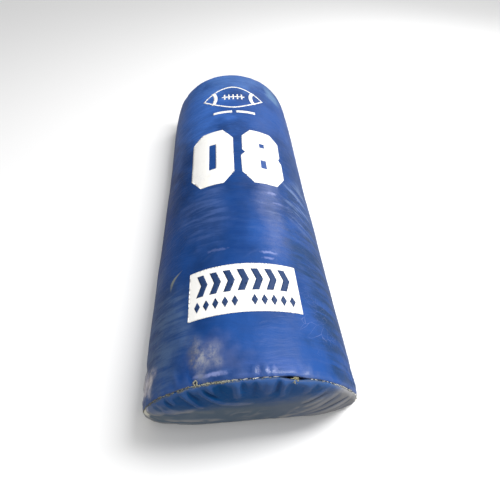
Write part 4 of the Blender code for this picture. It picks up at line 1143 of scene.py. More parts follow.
def ink_film(skin, name, shapes, finish, lift):
    """A printed film that follows the cover. Each shape is an outline and its holes, as places on the cover."""
    points, faces = [], []
    for outer, *holes in shapes:
        rings = [dense(ring, 0.0035) for ring in (outer, *holes)]
        border = np.array([spot for ring in rings for spot in ring])
        fill = skin.nodes(border.min(axis=0), border.max(axis=0))
        free = inside(fill, rings[0])
        for hole in rings[1:]:
            free &= ~inside(fill, hole)
        fill = fill[free]
        if len(fill):
            fill = fill[nearest(fill, border)[0] > 0.0012]
        edges, first = [], 0
        for ring in rings:
            edges += [(first + i, first + (i + 1) % len(ring)) for i in range(len(ring))]
            first += len(ring)
        spots = np.concatenate([border, fill]) if len(fill) else border
        found = net(spots, edges)
        middles = spots[np.array(found)].mean(axis=1)
        kept = inside(middles, rings[0])
        for hole in rings[1:]:
            kept &= ~inside(middles, hole)
        start = len(points)
        points += list(skin.at(spots, lift)[0])
        faces += [tuple(start + i for i in face) for face, keep in zip(found, kept) if keep]
    piece = add_piece(name, make_mesh(name, points, faces), finish)
    add_wall(piece, sizes().film, 1.0)
    return piece


def path_mesh(lines):
    """Loose edges along lines; each line is its points and the way up at each of them."""
    mesh = bpy.data.meshes.new("path")
    points, edges, ups = [], [], []
    for spots, up in lines:
        first = len(points)
        points += [tuple(spot) for spot in spots]
        ups += [tuple(each) for each in up]
        edges += [(first + i, first + i + 1) for i in range(len(spots) - 1)]
    mesh.from_pydata(points, edges, [])
    made = mesh.attributes.new("up", "FLOAT_VECTOR", "POINT")
    made.data.foreach_set("vector", np.array(ups, np.float32).ravel())
    return mesh


def thread_group(name, strand):
    """Geometry nodes that lay copies of a strand along a path, each a little different."""
    group = bpy.data.node_groups.new(name, "GeometryNodeTree")
    face = group.interface
    face.new_socket("Path", in_out="INPUT", socket_type="NodeSocketGeometry")
    floats = {"Pitch": 0.004, "Length": 0.003, "Thickness": 0.0006, "Loss": 0.0, "Turn": 0.1, "Stray": 0.0001}
    for key, value in floats.items():
        face.new_socket(key, in_out="INPUT", socket_type="NodeSocketFloat").default_value = value
    face.new_socket("Seed", in_out="INPUT", socket_type="NodeSocketInt")
    face.new_socket("Finish", in_out="INPUT", socket_type="NodeSocketMaterial")
    face.new_socket("Thread", in_out="OUTPUT", socket_type="NodeSocketGeometry")
    tree = Tree(group)
    given = group.nodes.new("NodeGroupInput")
    take = {socket.name: Wire(tree, socket) for socket in given.outputs if socket.name}

    def chance(low, high, shift):
        values = {2: low, 3: high, 8: take["Seed"] + shift}
        return tree.node("FunctionNodeRandomValue", {"data_type": "FLOAT"}, values, out=1)

    path = tree.node("GeometryNodeMeshToCurve", None, {0: take["Path"]})
    beads = tree.node("GeometryNodeResampleCurve", {"mode": "LENGTH"}, {"Curve": path, "Length": take["Pitch"]})
    offset = tree.xyz(*(chance(-1.0, 1.0, shift) * take["Stray"] for shift in (1, 2, 3)))
    up = tree.node("GeometryNodeInputNamedAttribute", {"data_type": "FLOAT_VECTOR"}, {"Name": "up"})
    tangent = tree.node("GeometryNodeInputTangent")
    turned = tree.node("FunctionNodeAlignRotationToVector", {"axis": "X"}, {"Vector": tangent})
    turned = tree.node("FunctionNodeAlignRotationToVector", {"axis": "Z", "pivot_axis": "X"}, {
        "Rotation": turned, "Vector": up})
    turns = ((0.5, 4), (0.4, 5), (1.0, 6))
    spin = tree.xyz(*(chance(-most, most, shift) * take["Turn"] for most, shift in turns))
    spin = tree.node("FunctionNodeEulerToRotation", None, {0: spin})
    turned = tree.node("FunctionNodeRotateRotation", {"rotation_space": "LOCAL"}, {0: turned, 1: spin})
    thick = take["Thickness"] * chance(0.8, 1.2, 7)
    scale = tree.xyz(take["Length"] * chance(0.7, 1.15, 8), thick, thick)
    kept = tree.node("FunctionNodeCompare", {"operation": "GREATER_THAN"}, {0: chance(0.0, 1.0, 9), 1: take["Loss"]})
    copies = tree.node("GeometryNodeInstanceOnPoints", None, {
        "Points": beads, "Instance": strand(tree), "Selection": kept, "Rotation": turned, "Scale": scale})
    moved = tree.node("GeometryNodeTranslateInstances", None, {"Instances": copies, "Translation": offset})
    real = tree.node("GeometryNodeRealizeInstances", None, {0: moved})
    finished = tree.node("GeometryNodeSetMaterial", None, {"Geometry": real, "Material": take["Finish"]})
    out = group.nodes.new("NodeGroupOutput")
    group.links.new(finished.socket, out.inputs[0])
    return group


def stitch_strand(tree):
    """One stitch, a unit long: a plump bead of thread."""
    bead = tree.node("GeometryNodeMeshUVSphere", None, {"Segments": 7, "Rings": 5, "Radius": 0.5})
    return tree.node("GeometryNodeSetShadeSmooth", None, {0: bead})


def fibre_strand(tree):
    """One frayed fibre, a unit long: a thin bent hair that lifts off its root."""
    bend = tree.node("GeometryNodeCurveQuadraticBezier", None, {
        "Resolution": 5, "Start": (-0.5, 0.0, 0.0), "Middle": (0.1, 0.6, 2.6), "End": (0.5, 2.6, 1.2)})
    ring = tree.node("GeometryNodeCurvePrimitiveCircle", None, {"Resolution": 4, "Radius": 0.5})
    tube = tree.node("GeometryNodeCurveToMesh", None, {0: bend, 1: ring, "Fill Caps": True})
    return tree.node("GeometryNodeSetShadeSmooth", None, {0: tube})


def laid(pitch, length, thickness, turn, stray, **more):
    """How a strand's copies are laid along a line, by the names of the node group's inputs."""
    return {"Pitch": pitch, "Length": length, "Thickness": thickness, "Turn": turn, "Stray": stray, **more}


def grown(name, group, lines, values, finish, body="bag"):
    """A piece that a node group grows along lines."""
    path = bpy.data.objects.new("path", path_mesh(lines))
    bpy.context.scene.collection.objects.link(path)
    modifier = path.modifiers.new("grow", "NODES")
    modifier.node_group = group
    for item in group.interface.items_tree:
        if item.in_out == "INPUT" and item.name in values:
            modifier[item.identifier] = values[item.name]
        elif item.name == "Finish":
            modifier[item.identifier] = finish
    path.update_tag()
    depsgraph = bpy.context.evaluated_depsgraph_get()
    mesh = bpy.data.meshes.new_from_object(path.evaluated_get(depsgraph), depsgraph=depsgraph)
    bpy.data.objects.remove(path)
    if not mesh.vertices:
        raise RuntimeError(name + " grew nothing")
    mesh.name = name
    return add_piece(name, mesh, finish, body)


def opened(along):
    """How far the foot seam gapes at a place, from 0 to 1."""
    middle, half = (OPEN_FROM + OPEN_TO) / 2, (OPEN_TO - OPEN_FROM) / 2
    return smooth(1.25 * (1 - np.abs(along - middle) / half))


def worn(points, away):
    """Where the coating has worn off the foot corners and the seam, from 0 to about 1."""
    corner = smooth((np.abs(points[:, 0]) - 0.19) / 0.03) * smooth((0.08 - points[:, 2]) / 0.05)
    left = points[:, 0] < 0
    foot = (points[:, 1] < 0) * 1.0
    reach = 0.007 + 0.014 * corner * left
    return foot * np.exp(-away / reach) * (0.26 + (0.45 + 0.45 * left) * corner)


def shell_weights(points, cover_count, along, away, tables, depths):
    """How firmly each point of the shell is held, and how much slack cloth it has."""
    hold = np.zeros(len(points))
    slack = np.zeros(len(points))
    rows = len(away)
    grid_hold = hold[:cover_count].reshape(rows, -1)
    grid_slack = slack[:cover_count].reshape(rows, -1)
    near = np.exp(-away / 0.006)[:, None]
    low = 1 - smooth(points[:cover_count, 2].reshape(rows, -1) / 0.045)
    grid_hold[:] = np.clip(0.3 + 0.7 * near + 0.6 * low, 0, 1)
    grid_hold[0] = grid_hold[-1] = grid_hold[:, 0] = grid_hold[:, -1] = 1.0
    y = np.repeat(cover_places()[:, None], len(along), axis=1)
    grid_slack[:] = 0.05 + 0.5 * crumpled(along[None, :], y) + 0.45 * np.exp(-away / 0.035)[:, None]
    for table, (from_arch, depth) in zip(tables, depths):
        own = table[len(along):]
        hold[own] = np.clip(np.exp(-depth[len(along):] / 0.004) + 0.02, 0, 1)
        slack[own] = 0.25 + 0.75 * np.exp(-from_arch[len(along):] / 0.06)
    return hold, slack


def drop_loose(mesh):
    """Takes away any points that no face uses."""
    shape = bmesh.new()
    shape.from_mesh(mesh)
    loose = [spot for spot in shape.verts if not spot.link_faces]
    if loose:
        bmesh.ops.delete(shape, geom=loose, context="VERTS")
        shape.to_mesh(mesh)
    shape.free()


def panel_piece(name, points, faces, finish, fold, seam, wear):
    """A vinyl panel with its thickness, and what its finish reads from the mesh."""
    mesh = make_mesh(name, points, faces)
    for key, values in (("fold", fold), ("seam", seam), ("wear", wear)):
        write_attribute(mesh, key, values)
    drop_loose(mesh)
    piece = add_piece(name, mesh, finish)
    add_wall(piece, sizes().vinyl, -1.0)
    return piece


def make_cover(points, along, y, fold, finish):
    """The front cover with its turned-in end edges."""
    rows, columns = points.shape[:2]
    away = sizes().seam_y - np.abs(y)
    _, _, _, nx, nz = outline(columns)
    inward = np.stack([-nx, 0 * nx, -nz], 1)
    gape = opened(along)[None, :, None] * np.exp(-away / 0.01)[:, None, None] * (y < 0)[:, None, None]
    points = points + gape * (np.array([0.0, OPEN_BACK, 0.0]) - OPEN_RISE * inward)
    points[0, :, 1] += SEAM_GAP
    points[-1, :, 1] -= SEAM_GAP
    edges = [points[row] + inward * FLANGE for row in (0, -1)]
    stacked = np.concatenate([edges[0][None], points, edges[1][None]])
    numbers = np.arange((rows + 2) * columns).reshape(rows + 2, columns)
    faces = [face for lower, upper in zip(numbers, numbers[1:]) for face in strip(lower, upper)]
    fold = np.concatenate([fold[:1], fold, fold[-1:]]).ravel()
    seam = np.repeat(np.concatenate([[1.0], np.exp(-away / 0.012), [1.0]]), columns)
    flat = stacked.reshape(-1, 3)
    wear = worn(flat, np.repeat(np.concatenate([[0.0], away, [0.0]]), columns))
    piece = panel_piece("front_cover_skin", flat, faces, finish, fold, seam, wear)
    for key, value in (("rows", rows), ("columns", columns)):
        piece[key] = value
    piece["along"] = [float(value) for value in along]
    piece["places"] = [float(value) for value in y]
    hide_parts("front_cover")


def make_cap(side, points, faces, count, along, depth, fold, finish):
    """An end panel with its turned-in edge."""
    size = sizes()
    points = np.array(points)
    if side < 0:
        gape = opened(along) * np.exp(-depth / 0.012)
        points += gape[:, None] * np.array(OPEN_CAP)
    ring = points[:count]
    ring[:, 1] += side * SEAM_GAP
    pull = np.array([0.0, size.body_height / 3]) - ring[:, [0, 2]]
    inner = ring.copy()
    inner[:, [0, 2]] += pull / np.linalg.norm(pull, axis=1)[:, None] * FLANGE
    numbers = [*range(len(points), len(points) + count), len(points)]
    band = strip([*range(count), 0], numbers)
    turned = [face[::-1] for face in faces] if side > 0 else list(faces)
    band = band if side > 0 else [face[::-1] for face in band]
    every = np.concatenate([points, inner])
    fold = np.concatenate([fold, fold[:count]])
    seam = np.concatenate([np.exp(-depth / 0.01), np.ones(count)])
    wear = worn(every, np.concatenate([depth, np.zeros(count)]))
    node = "foot_end_cap" if side < 0 else "head_end_cap"
    piece = panel_piece(node + "_skin", every, turned + band, finish, fold, seam, wear)
    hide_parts(node)


class BAG_OT_cover(bpy.types.Operator):
    """Builds the front cover and the two end panels, settled as one sewn shell"""

    bl_idname = "bag.cover"
    bl_label = "Cover and end panels"

    def execute(self, context):
        cover, along, y = cover_grid()
        rows, columns = cover.shape[:2]
        places, cap_faces, count = cap_net()
        caps, ways, depths = zip(*(cap_surface(side, places) for side in (-1, 1)))
        points, faces, tables = shell(cover, caps, cap_faces)
        size = sizes()
        away = size.seam_y - np.abs(y)
        from_arch, _ = nearest(places, cap_outline(size.seam_dip)[:columns])
        pairs = [(from_arch, depth) for depth in depths]
        hold, slack = shell_weights(points, rows * columns, along, away, tables, pairs)
        reach = np.full(len(points), COVER_GIVE)
        reach[rows * columns:] = CAP_GIVE
        points = settle(points, faces, hold, slack, reach)
        points[:, 2] = np.maximum(points[:, 2], FLOOR_GAP)
        fold = unevenness(points, faces, FOLD_ROUNDS) / FOLD_UNIT
        grid = points[:rows * columns].reshape(rows, columns, 3)
        relief = fold[:rows * columns].reshape(rows, columns)
        make_cover(grid, along, y, relief, Vinyl("cover_vinyl").material)
        finish = Vinyl("end_vinyl", dirt=0.8).material
        for side, table, way, depth in zip((-1, 1), tables, ways, depths):
            make_cap(side, points[table], cap_faces, count, way, depth, fold[table], finish)
        return {"FINISHED"}


def seam_lines(skin, row, lift, aside, start=None, end=None):
    """The line of an end seam, raised by lift and moved along the bag by aside, with the way up."""
    pick = slice(None)
    if start is not None:
        pick = (skin.along > start) & (skin.along < end)
    side = -1.0 if row == 0 else 1.0
    up = skin.normals[3 if row == 0 else -4][pick] * 0.8 + np.array([0.0, side, 0.0]) * 0.6
    spots = skin.points[row][pick] + up * lift + np.array([0.0, aside, 0.0])
    return spots, up


class BAG_OT_seams(bpy.types.Operator):
    """Lays the sewing thread and its frayed ends along both end seams"""

    bl_idname = "bag.seams"
    bl_label = "Seam threads"

    def execute(self, context):
        skin = Skin()
        finish = thread_finish("seam_thread", colour("thread"))
        stitches = thread_group("stitches", stitch_strand)
        fibres = thread_group("fibres", fibre_strand)
        soiled = thread_finish("soiled_thread", darker(colour("thread"), 0.5))
        bright = thread_finish("bright_thread", (0.72, 0.72, 0.7))
        long_stitch = laid(0.015, 0.011, 0.0013, 0.12, 0.0005)
        thin_stitch = laid(0.0085, 0.0072, 0.001, 0.2, 0.0005)
        fray = laid(0.0013, 0.003, 0.0004, 2.6, 0.0008)
        whip = laid(0.0042, 0.0056, 0.001, 0.9, 0.0005, Loss=0.08)
        bits = laid(0.012, 0.004, 0.0009, 0.5, 0.001, Loss=0.45)
        ragged = fray | {"Loss": 0.12, "Length": 0.0038, "Thickness": 0.0005}
        parts = (
            ("foot_seam_stitches_left", -0.4, -0.1, 0.0005, 0.0, stitches, thin_stitch | {"Loss": 0.2}, finish),
            ("foot_seam_bits_left", -0.36, -0.1, 0.0006, 0.001, stitches, bits, bright),
            ("foot_seam_stitches_middle", -0.1, -0.03, 0.0006, 0.0, stitches, thin_stitch | {"Loss": 0.25}, finish),
            ("foot_seam_dashes", -0.042, OPEN_FROM, 0.0007, 0.0005, stitches, long_stitch | {"Loss": 0.12}, bright),
            ("foot_seam_stitches_right", OPEN_TO, 0.175, 0.0006, 0.0, stitches, thin_stitch | {"Loss": 0.15}, bright),
            ("foot_seam_whipping", 0.175, 0.335, 0.001, 0.0, stitches, whip, bright),
            ("foot_seam_second_row", 0.165, 0.33, 0.0005, 0.0042, stitches, thin_stitch | {"Loss": 0.25}, finish),
            ("foot_seam_fray_left", -0.4, -0.1, 0.0002, 0.0, fibres, fray | {"Loss": 0.55}, soiled),
            ("foot_seam_fray_ragged", -0.1, -0.03, 0.0003, -0.0008, fibres, ragged, finish),
            ("foot_seam_fray_middle", -0.03, OPEN_FROM, 0.0002, -0.0006, fibres, fray | {"Loss": 0.62}, finish),
            ("foot_seam_fray_right", OPEN_TO, 0.36, 0.0002, 0.0, fibres, fray | {"Loss": 0.6}, soiled),
        )
        for seed, (name, start, end, lift, aside, group, values, thread) in enumerate(parts):
            line = seam_lines(skin, 0, lift, aside, start, end)
            grown(name, group, [line], values | {"Seed": seed + 3}, thread)
        head_parts = (
            ("head_seam_stitches", 0.0006, stitches, thin_stitch | {"Loss": 0.04}),
            ("head_seam_fray", 0.0001, fibres, fray | {"Loss": 0.75}),
        )
        for seed, (name, lift, group, values) in enumerate(head_parts):
            line = seam_lines(skin, -1, lift, 0.0, -0.36, 0.36)
            grown(name, group, [line], values | {"Seed": seed + 20}, finish)
        self.puncture(skin, fibres, finish)
        return {"FINISHED"}

    def puncture(self, skin, fibres, finish):
        """The frayed ring round a small hole in the foot seam, and the tuft that hangs out of the open stretch."""
        middle = np.array([-0.092, -sizes().seam_y + 0.004])
        turns = np.linspace(0, 2 * math.pi, 25)
        ring = middle + 0.0038 * np.stack([np.cos(turns), np.sin(turns)], 1)
        spots, up = skin.at(ring, 0.0002)
        values = laid(0.0012, 0.0028, 0.0005, 1.5, 0.0005, Seed=30)
        grown("puncture_fray", fibres, [(spots, up)], values, finish)
        foam = foam_finish("torn_foam", (0.42, 0.4, 0.24))
        along = np.linspace(0.08, 0.088, 9)
        spots, up = skin.at(np.stack([along, np.full(9, -sizes().seam_y + 0.001)], 1), -0.0066)
        spots[:, 1] -= 0.0066
        spots = np.concatenate([spots, spots[::-1] - (0.0, 0.0036, 0.003), spots - (0.0, 0.0056, 0.0058)])
        up = np.concatenate([up, up[::-1], up])
        values = laid(0.0008, 0.004, 0.0009, 3.0, 0.0018, Seed=31)
        grown("foam_tuft", fibres, [(spots, up)], values, foam)


def numeral_shapes():
    """The block numerals: a nought and an eight."""
    nought = [
        (-0.13, 0.15), (-0.13, -0.026), (-0.097, -0.078), (-0.031, -0.079), (-0.001, -0.033), (0.001, 0.138),
        (-0.03, 0.188), (-0.096, 0.187),
    ]
    slot = [(-0.0735, 0.116), (-0.0735, -0.008), (-0.0525, -0.007), (-0.0525, 0.115)]
    eight = [
        (0.028, 0.149), (0.026, 0.074), (0.034, 0.062), (0.021, 0.044), (0.021, -0.034), (0.052, -0.08),
        (0.118, -0.077), (0.147, -0.03), (0.149, 0.044), (0.14, 0.062), (0.147, 0.077), (0.15, 0.152),
        (0.123, 0.188), (0.056, 0.188),
    ]
    upper = [(0.08, 0.117), (0.08, 0.095), (0.096, 0.096), (0.096, 0.118)]
    lower = [(0.077, 0.029), (0.077, -0.01), (0.094, -0.01), (0.094, 0.03)]
    return [(nought, slot), (eight, upper, lower)]


def band_shape(path, width):
    """A closed band of that width along an open path."""
    path = np.array(path, float)
    way = np.gradient(path, axis=0)
    aside = np.stack([-way[:, 1], way[:, 0]], 1) / np.linalg.norm(way, axis=1)[:, None] * width / 2
    return [tuple(spot) for spot in np.concatenate([path + aside, (path - aside)[::-1]])]


def oval(centre, half_x, half_y, sharp, count=56):
    """A pointed oval, such as the outline of a football; sharp is above 1 for pointed ends."""
    spots = []
    for turn in np.linspace(0, 2 * math.pi, count, endpoint=False):
        x = math.cos(turn)
        y = math.copysign(max(0.0, 1 - abs(x) ** sharp), math.sin(turn))
        spots.append((centre[0] + half_x * x, centre[1] + half_y * y))
    return spots


def box_shape(x0, y0, x1, y1):
    """A rectangle as a closed outline."""
    return [(x0, y0), (x1, y0), (x1, y1), (x0, y1)]


def ball_shapes():
    """A plain football in outline, with its end stripes and laces, over two bars."""
    centre = (0.011, 0.412)
    shapes = [(oval(centre, 0.109, 0.082, 1.75), oval(centre, 0.102, 0.075, 1.75))]
    for side in (-1, 1):
        edge = []
        for share in np.linspace(-1, 1, 9):
            x = 0.062 + 0.01 * share**2
            edge.append((centre[0] + side * x, centre[1] + share * 0.0445))
        shapes.append((band_shape(edge, 0.013),))
    shapes.append((band_shape([(centre[0] + x, centre[1]) for x in np.linspace(-0.04, 0.04, 9)], 0.0065),))
    for step in range(5):
        x = centre[0] - 0.03 + 0.015 * step
        for low, high in ((0.0045, 0.019), (-0.019, -0.0045)):
            shapes.append((box_shape(x - 0.0025, centre[1] + low, x + 0.0025, centre[1] + high),))
    shapes += [(box_shape(x0, 0.296, x1, 0.31),) for x0, x1 in ((-0.06, 0.004), (0.018, 0.082))]
    return shapes


PANEL_LOW = (-0.114, -0.478)
PANEL_HIGH = (0.122, -0.3595)


def panel_shapes():
    """The plain white panel under the numerals."""
    (x0, y0), (x1, y1) = PANEL_LOW, PANEL_HIGH
    return [([(x0, y0), (x1, y0 + 0.003), (x1 - 0.001, y1 + 0.001), (x0 - 0.002, y1)],)]


def on_panel(share_x, share_y):
    """A place on the white panel from its shares of the width and height."""
    return (
        PANEL_LOW[0] + share_x * (PANEL_HIGH[0] - PANEL_LOW[0]),
        PANEL_LOW[1] + share_y * (PANEL_HIGH[1] - PANEL_LOW[1]),
    )


def pattern_shapes():
    """The panel's navy pattern: a row of slanting chevrons over a row of small lozenges."""
    shapes = []
    for step in range(7):
        left, wide, lean = 0.075 + 0.123 * step, 0.062, 0.042
        lower, middle, upper = 0.43, 0.655, 0.88
        shapes.append(([on_panel(*spot) for spot in (
            (left, lower), (left + wide, lower), (left + wide + lean, middle), (left + wide, upper),
            (left, upper), (left + lean, middle))],))
    for step in range(11):
        if step == 5:
            continue
        x, y = 0.085 + 0.083 * step, 0.235
        shapes.append(([on_panel(*spot) for spot in (
            (x - 0.028, y), (x, y - 0.105), (x + 0.028, y), (x, y + 0.105))],))
    return shapes


class BAG_OT_prints(bpy.types.Operator):
    """Prints the numerals, the patterned panel and the plain football"""

    bl_idname = "bag.prints"
    bl_label = "Prints"

    def execute(self, context):
        skin = Skin()
        white = ink_finish("white_ink", colour("ink"))
        navy = ink_finish("navy_ink", colour("dark_ink"))
        lift = 0.00018
        ink_film(skin, "numeral_print", numeral_shapes(), white, lift)
        ink_film(skin, "ball_print", ball_shapes(), white, lift)
        ink_film(skin, "panel_print", panel_shapes(), white, lift)
        ink_film(skin, "panel_pattern", pattern_shapes(), navy, lift + sizes().film + 0.0001)
        return {"FINISHED"}


# The way up for stitches on the back
DOWN = (0.0, 0.0, -1.0)

# The back, as the solids have it
BACK_EDGE = 0.2144
WINDOW_HALF = 0.0105
WINDOW_START = -0.3948
WINDOW_END = 0.4021
TROUGH_HALF = 0.02
TROUGH_RAMP = 0.016
TROUGH_REACH = 0.4147
TROUGH_END = 0.03
TROUGH_DEPTH = 0.0059
HANDLE_X = 0.115
HANDLE_Y = 0.19
RECESS_HALF = 0.0305
RECESS_REACH = 0.189
RECESS_RAMP = 0.02
RECESS_DEPTH = 0.0082


def ramp(value, flat, run):
    """1 within flat of zero, falling to 0 over run."""
    return np.clip((flat + run - np.abs(value)) / run, 0.0, 1.0)


def back_height(x, y):
    """Height of the back panel's outer face above the ground."""
    middle = (WINDOW_START + WINDOW_END) / 2
    trough = ramp(x, TROUGH_HALF, TROUGH_RAMP) * ramp(y - middle, TROUGH_REACH, TROUGH_END)
    recess = ramp(np.abs(x) - HANDLE_X, RECESS_HALF, RECESS_RAMP) * ramp(y - HANDLE_Y, RECESS_REACH, RECESS_RAMP)
    return np.maximum(TROUGH_DEPTH * trough, RECESS_DEPTH * recess)


class BAG_OT_back(bpy.types.Operator):
    """Builds the back panel with its zipper window, its stitching and the long seams"""

    bl_idname = "bag.back"
    bl_label = "Back panel"

    def execute(self, context):
        size = sizes()
        end = size.seam_y - SEAM_GAP
        rights = np.concatenate([
            [0.0, 0.005], np.arange(WINDOW_HALF, BACK_EDGE - 0.012, 0.0055),
            BACK_EDGE - np.array([0.01, 0.006, 0.003, 0.001, 0.0]),
        ])
        x = np.concatenate([-rights[:0:-1], rights])
        marks = (-end, -end + 0.01, WINDOW_START, WINDOW_END, end - 0.01, end)
        rows = [np.linspace(a, b, count)[:-1] for a, b, count in zip(marks, marks[1:], (6, 36, 140, 35, 6))]
        y = np.concatenate([*rows, [end]])
        grid_y, grid_x = np.meshgrid(y, x, indexing="ij")
        z = back_height(grid_x, grid_y)
        flat = np.stack([grid_x, grid_y, 0 * z], axis=-1).reshape(-1, 3)
        free = 1 - smooth(z / 0.002)
        waves = (0.5 + lumps(flat, 0.09, 8) * 0.6 + np.abs(lumps(flat, 0.03, 9)) * 0.35).reshape(z.shape)
        z = z + 0.0011 * np.clip(waves, 0, 1) * free
        away = end - np.abs(grid_y)
        side = BACK_EDGE - np.abs(grid_x)
        for distance, reach, dip in ((away, 0.008, size.seam_dip), (side, 0.005, 0.0012)):
            roll = np.clip(1 - distance / reach, 0, 1)
            z = z + dip * (1 - np.sqrt(1 - roll**2))
        drawn = np.sign(grid_y) * (corner_draw(grid_x, 0 * z, away, grid_y) + 0.0006 * np.clip(1 - away / 0.02, 0, 1))
        across = grid_x + corner_shift(grid_x, 0 * z, away, waist_at(grid_y), grid_y)
        points = np.stack([across, grid_y - drawn, z], axis=-1)
        points[..., 2] += corner_lift(grid_x, 0 * z, away)
        numbers = np.arange(z.size).reshape(z.shape)
        middle_y, middle_x = (y[1:] + y[:-1]) / 2, (x[1:] + x[:-1]) / 2
        faces = []
        for row, lower, upper in zip(middle_y, numbers, numbers[1:]):
            window = WINDOW_START < row < WINDOW_END
            for column, face in zip(middle_x, strip(lower, upper)):
                if not (window and abs(column) < WINDOW_HALF):
                    faces.append(face[::-1])
        plain = np.zeros(z.size)
        seam = np.exp(-np.minimum(away, side) / 0.01).ravel()
        finish = Vinyl("back_vinyl", dirt=0.45).material
        spots = points.reshape(-1, 3)
        piece = panel_piece("back_panel_skin", spots, faces, finish, plain, seam, plain)
        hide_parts("back_panel")
        self.sew()
        return {"FINISHED"}

    def sew(self):
        """Two rows of stitches round the zipper window, and the long seams."""
        finish = thread_finish("back_thread", darker(colour("thread"), 0.5))
        stitches = thread_group("back_stitches", stitch_strand)
        lines = []
        for reach in (0.0125, 0.015):
            low, high = WINDOW_START - reach + 0.0105, WINDOW_END + reach - 0.0105
            corners = [(-reach, low), (reach, low), (reach, high), (-reach, high)]
            spots = np.array(dense(corners, 0.004) + corners[:1])
            heights = back_height(spots[:, 0], spots[:, 1]) - 0.0003
            lines.append((np.column_stack([spots, heights]), [DOWN] * len(spots)))
        values = laid(0.0036, 0.0028, 0.0006, 0.08, 0.0001, Seed=50)
        grown("window_stitches", stitches, lines, values, finish)
        lines = []
        for side in (-1, 1):
            spots = [(side * (BACK_EDGE + 0.0002), y, 0.0013) for y in np.linspace(-0.54, 0.54, 90)]
            lines.append((spots, [DOWN] * len(spots)))
        values = laid(0.0048, 0.0036, 0.0007, 0.08, 0.0001, Seed=51)
        grown("long_seam_stitches", stitches, lines, values, finish)


# How the foam is drawn in from the cover: off the floor, at its sides, on top and at its ends
FOAM_PLANES = ((0.165, 0.0, 0.0), (-0.165, 0.0, 0.0), (0.0, 0.535, 0.0), (0.0, -0.535, 0.0))
FOAM_LIFT = 0.0016
FOAM_CURL = 1.1
FOAM_SIDES = 0.052
FOAM_TOP = 0.008
FOAM_ENDS = 0.009
FOAM_END_PLACE = 0.577
FOAM_END_REACH = 0.031


class BAG_OT_foam(bpy.types.Operator):
    """Cuts the foam blocks to fit inside the settled cover"""

    bl_idname = "bag.foam"
    bl_label = "Foam"

    def execute(self, context):
        soft = foam_finish("soft_foam", colour("foam"))
        firm = foam_finish("rebond_foam", (0.42, 0.45, 0.5), crumbs=0.8)
        for node, finish, slot in (
            ("rebond_core", firm, "rebond_foam"), ("soft_foam_wrap", soft, "soft_foam"),
            ("back_foam_pad", soft, "soft_foam"), ("foot_foam_disc", soft, "soft_foam"),
            ("head_foam_disc", soft, "soft_foam"),
        ):
            mesh = self.cut(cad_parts[node])
            piece = add_piece(node + "_block", mesh, finish)
            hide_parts(node)
        return {"FINISHED"}

    def cut(self, node):
        """A copy of a foam block, drawn in from the cover on every side."""
        size = sizes()
        half = size.body_width / 2
        shape = bmesh.new()
        shape.from_mesh(node.data)
        bmesh.ops.remove_doubles(shape, verts=shape.verts, dist=1e-6)
        for place in FOAM_PLANES:
            parts = shape.verts[:] + shape.edges[:] + shape.faces[:]
            bmesh.ops.bisect_plane(shape, geom=parts, plane_co=place, plane_no=place, dist=1e-5)
        for spot in shape.verts:
            x, y, z = spot.co
            lift = FOAM_LIFT + FOAM_CURL * float(corner_lift(x, z, size.seam_y - abs(y))) if z < 0.02 else 0.0
            y -= math.copysign(FOAM_ENDS * max(0.0, (abs(y) - FOAM_END_PLACE) / FOAM_END_REACH), y)
            y -= math.copysign(float(corner_draw(x, z, size.seam_y - abs(y), y)), y)
            top = FOAM_TOP * max(0.0, z / 0.228) ** 2
            spot.co = (x * (1 - FOAM_SIDES * abs(x / half) ** 3), y, z + lift - top)
        mesh = bpy.data.meshes.new(node.name + "_block")
        shape.to_mesh(mesh)
        shape.free()
        return mesh


def rounded_box(half_x, half_y, radius, steps=5):
    """A closed outline of a box with round corners."""
    spots = []
    for sign_x, sign_y, start in ((1, 1, 0), (-1, 1, 90), (-1, -1, 180), (1, -1, 270)):
        for step in range(steps):
            turn = math.radians(start + 90 * step / (steps - 1))
            spots.append((
                sign_x * (half_x - radius) + radius * math.cos(turn),
                sign_y * (half_y - radius) + radius * math.sin(turn),
            ))
    return spots


def loft(loops, closed_ends=True):
    """Points and faces of a tube through closed loops of as many points each."""
    count = len(loops[0])
    faces = []
    for number in range(len(loops) - 1):
        a, b = number * count, (number + 1) * count
        faces += [(a + i, a + (i + 1) % count, b + (i + 1) % count, b + i) for i in range(count)]
    if closed_ends:
        faces.append(tuple(reversed(range(count))))
        faces.append(tuple(range((len(loops) - 1) * count, len(loops) * count)))
    return [spot for loop in loops for spot in loop], faces


# Where the two patches of a handle lie along the bag
PATCH_PLACES = (("foot", 0.0315), ("head", 0.3485))

# The halves of a strap: end, first and last place along the bag, and where the bending starts and stops
STRAP_HALVES = (("foot", 0.01, 0.1899, 0.062, 0.124), ("head", 0.37, 0.1901, 0.318, 0.256))
STRAP_HALF_WIDTH = 0.019

# How far the stitches' cross reaches on a patch
CROSS_HALF = 0.0155

# The rounded edge of a vinyl patch, from its outer face up: inset and height
PATCH_EDGE = ((0.0012, 0.0), (0.0003, 0.0004), (0.0, 0.001), (0.0, 0.0016), (0.0004, 0.0019), (0.0015, 0.002))


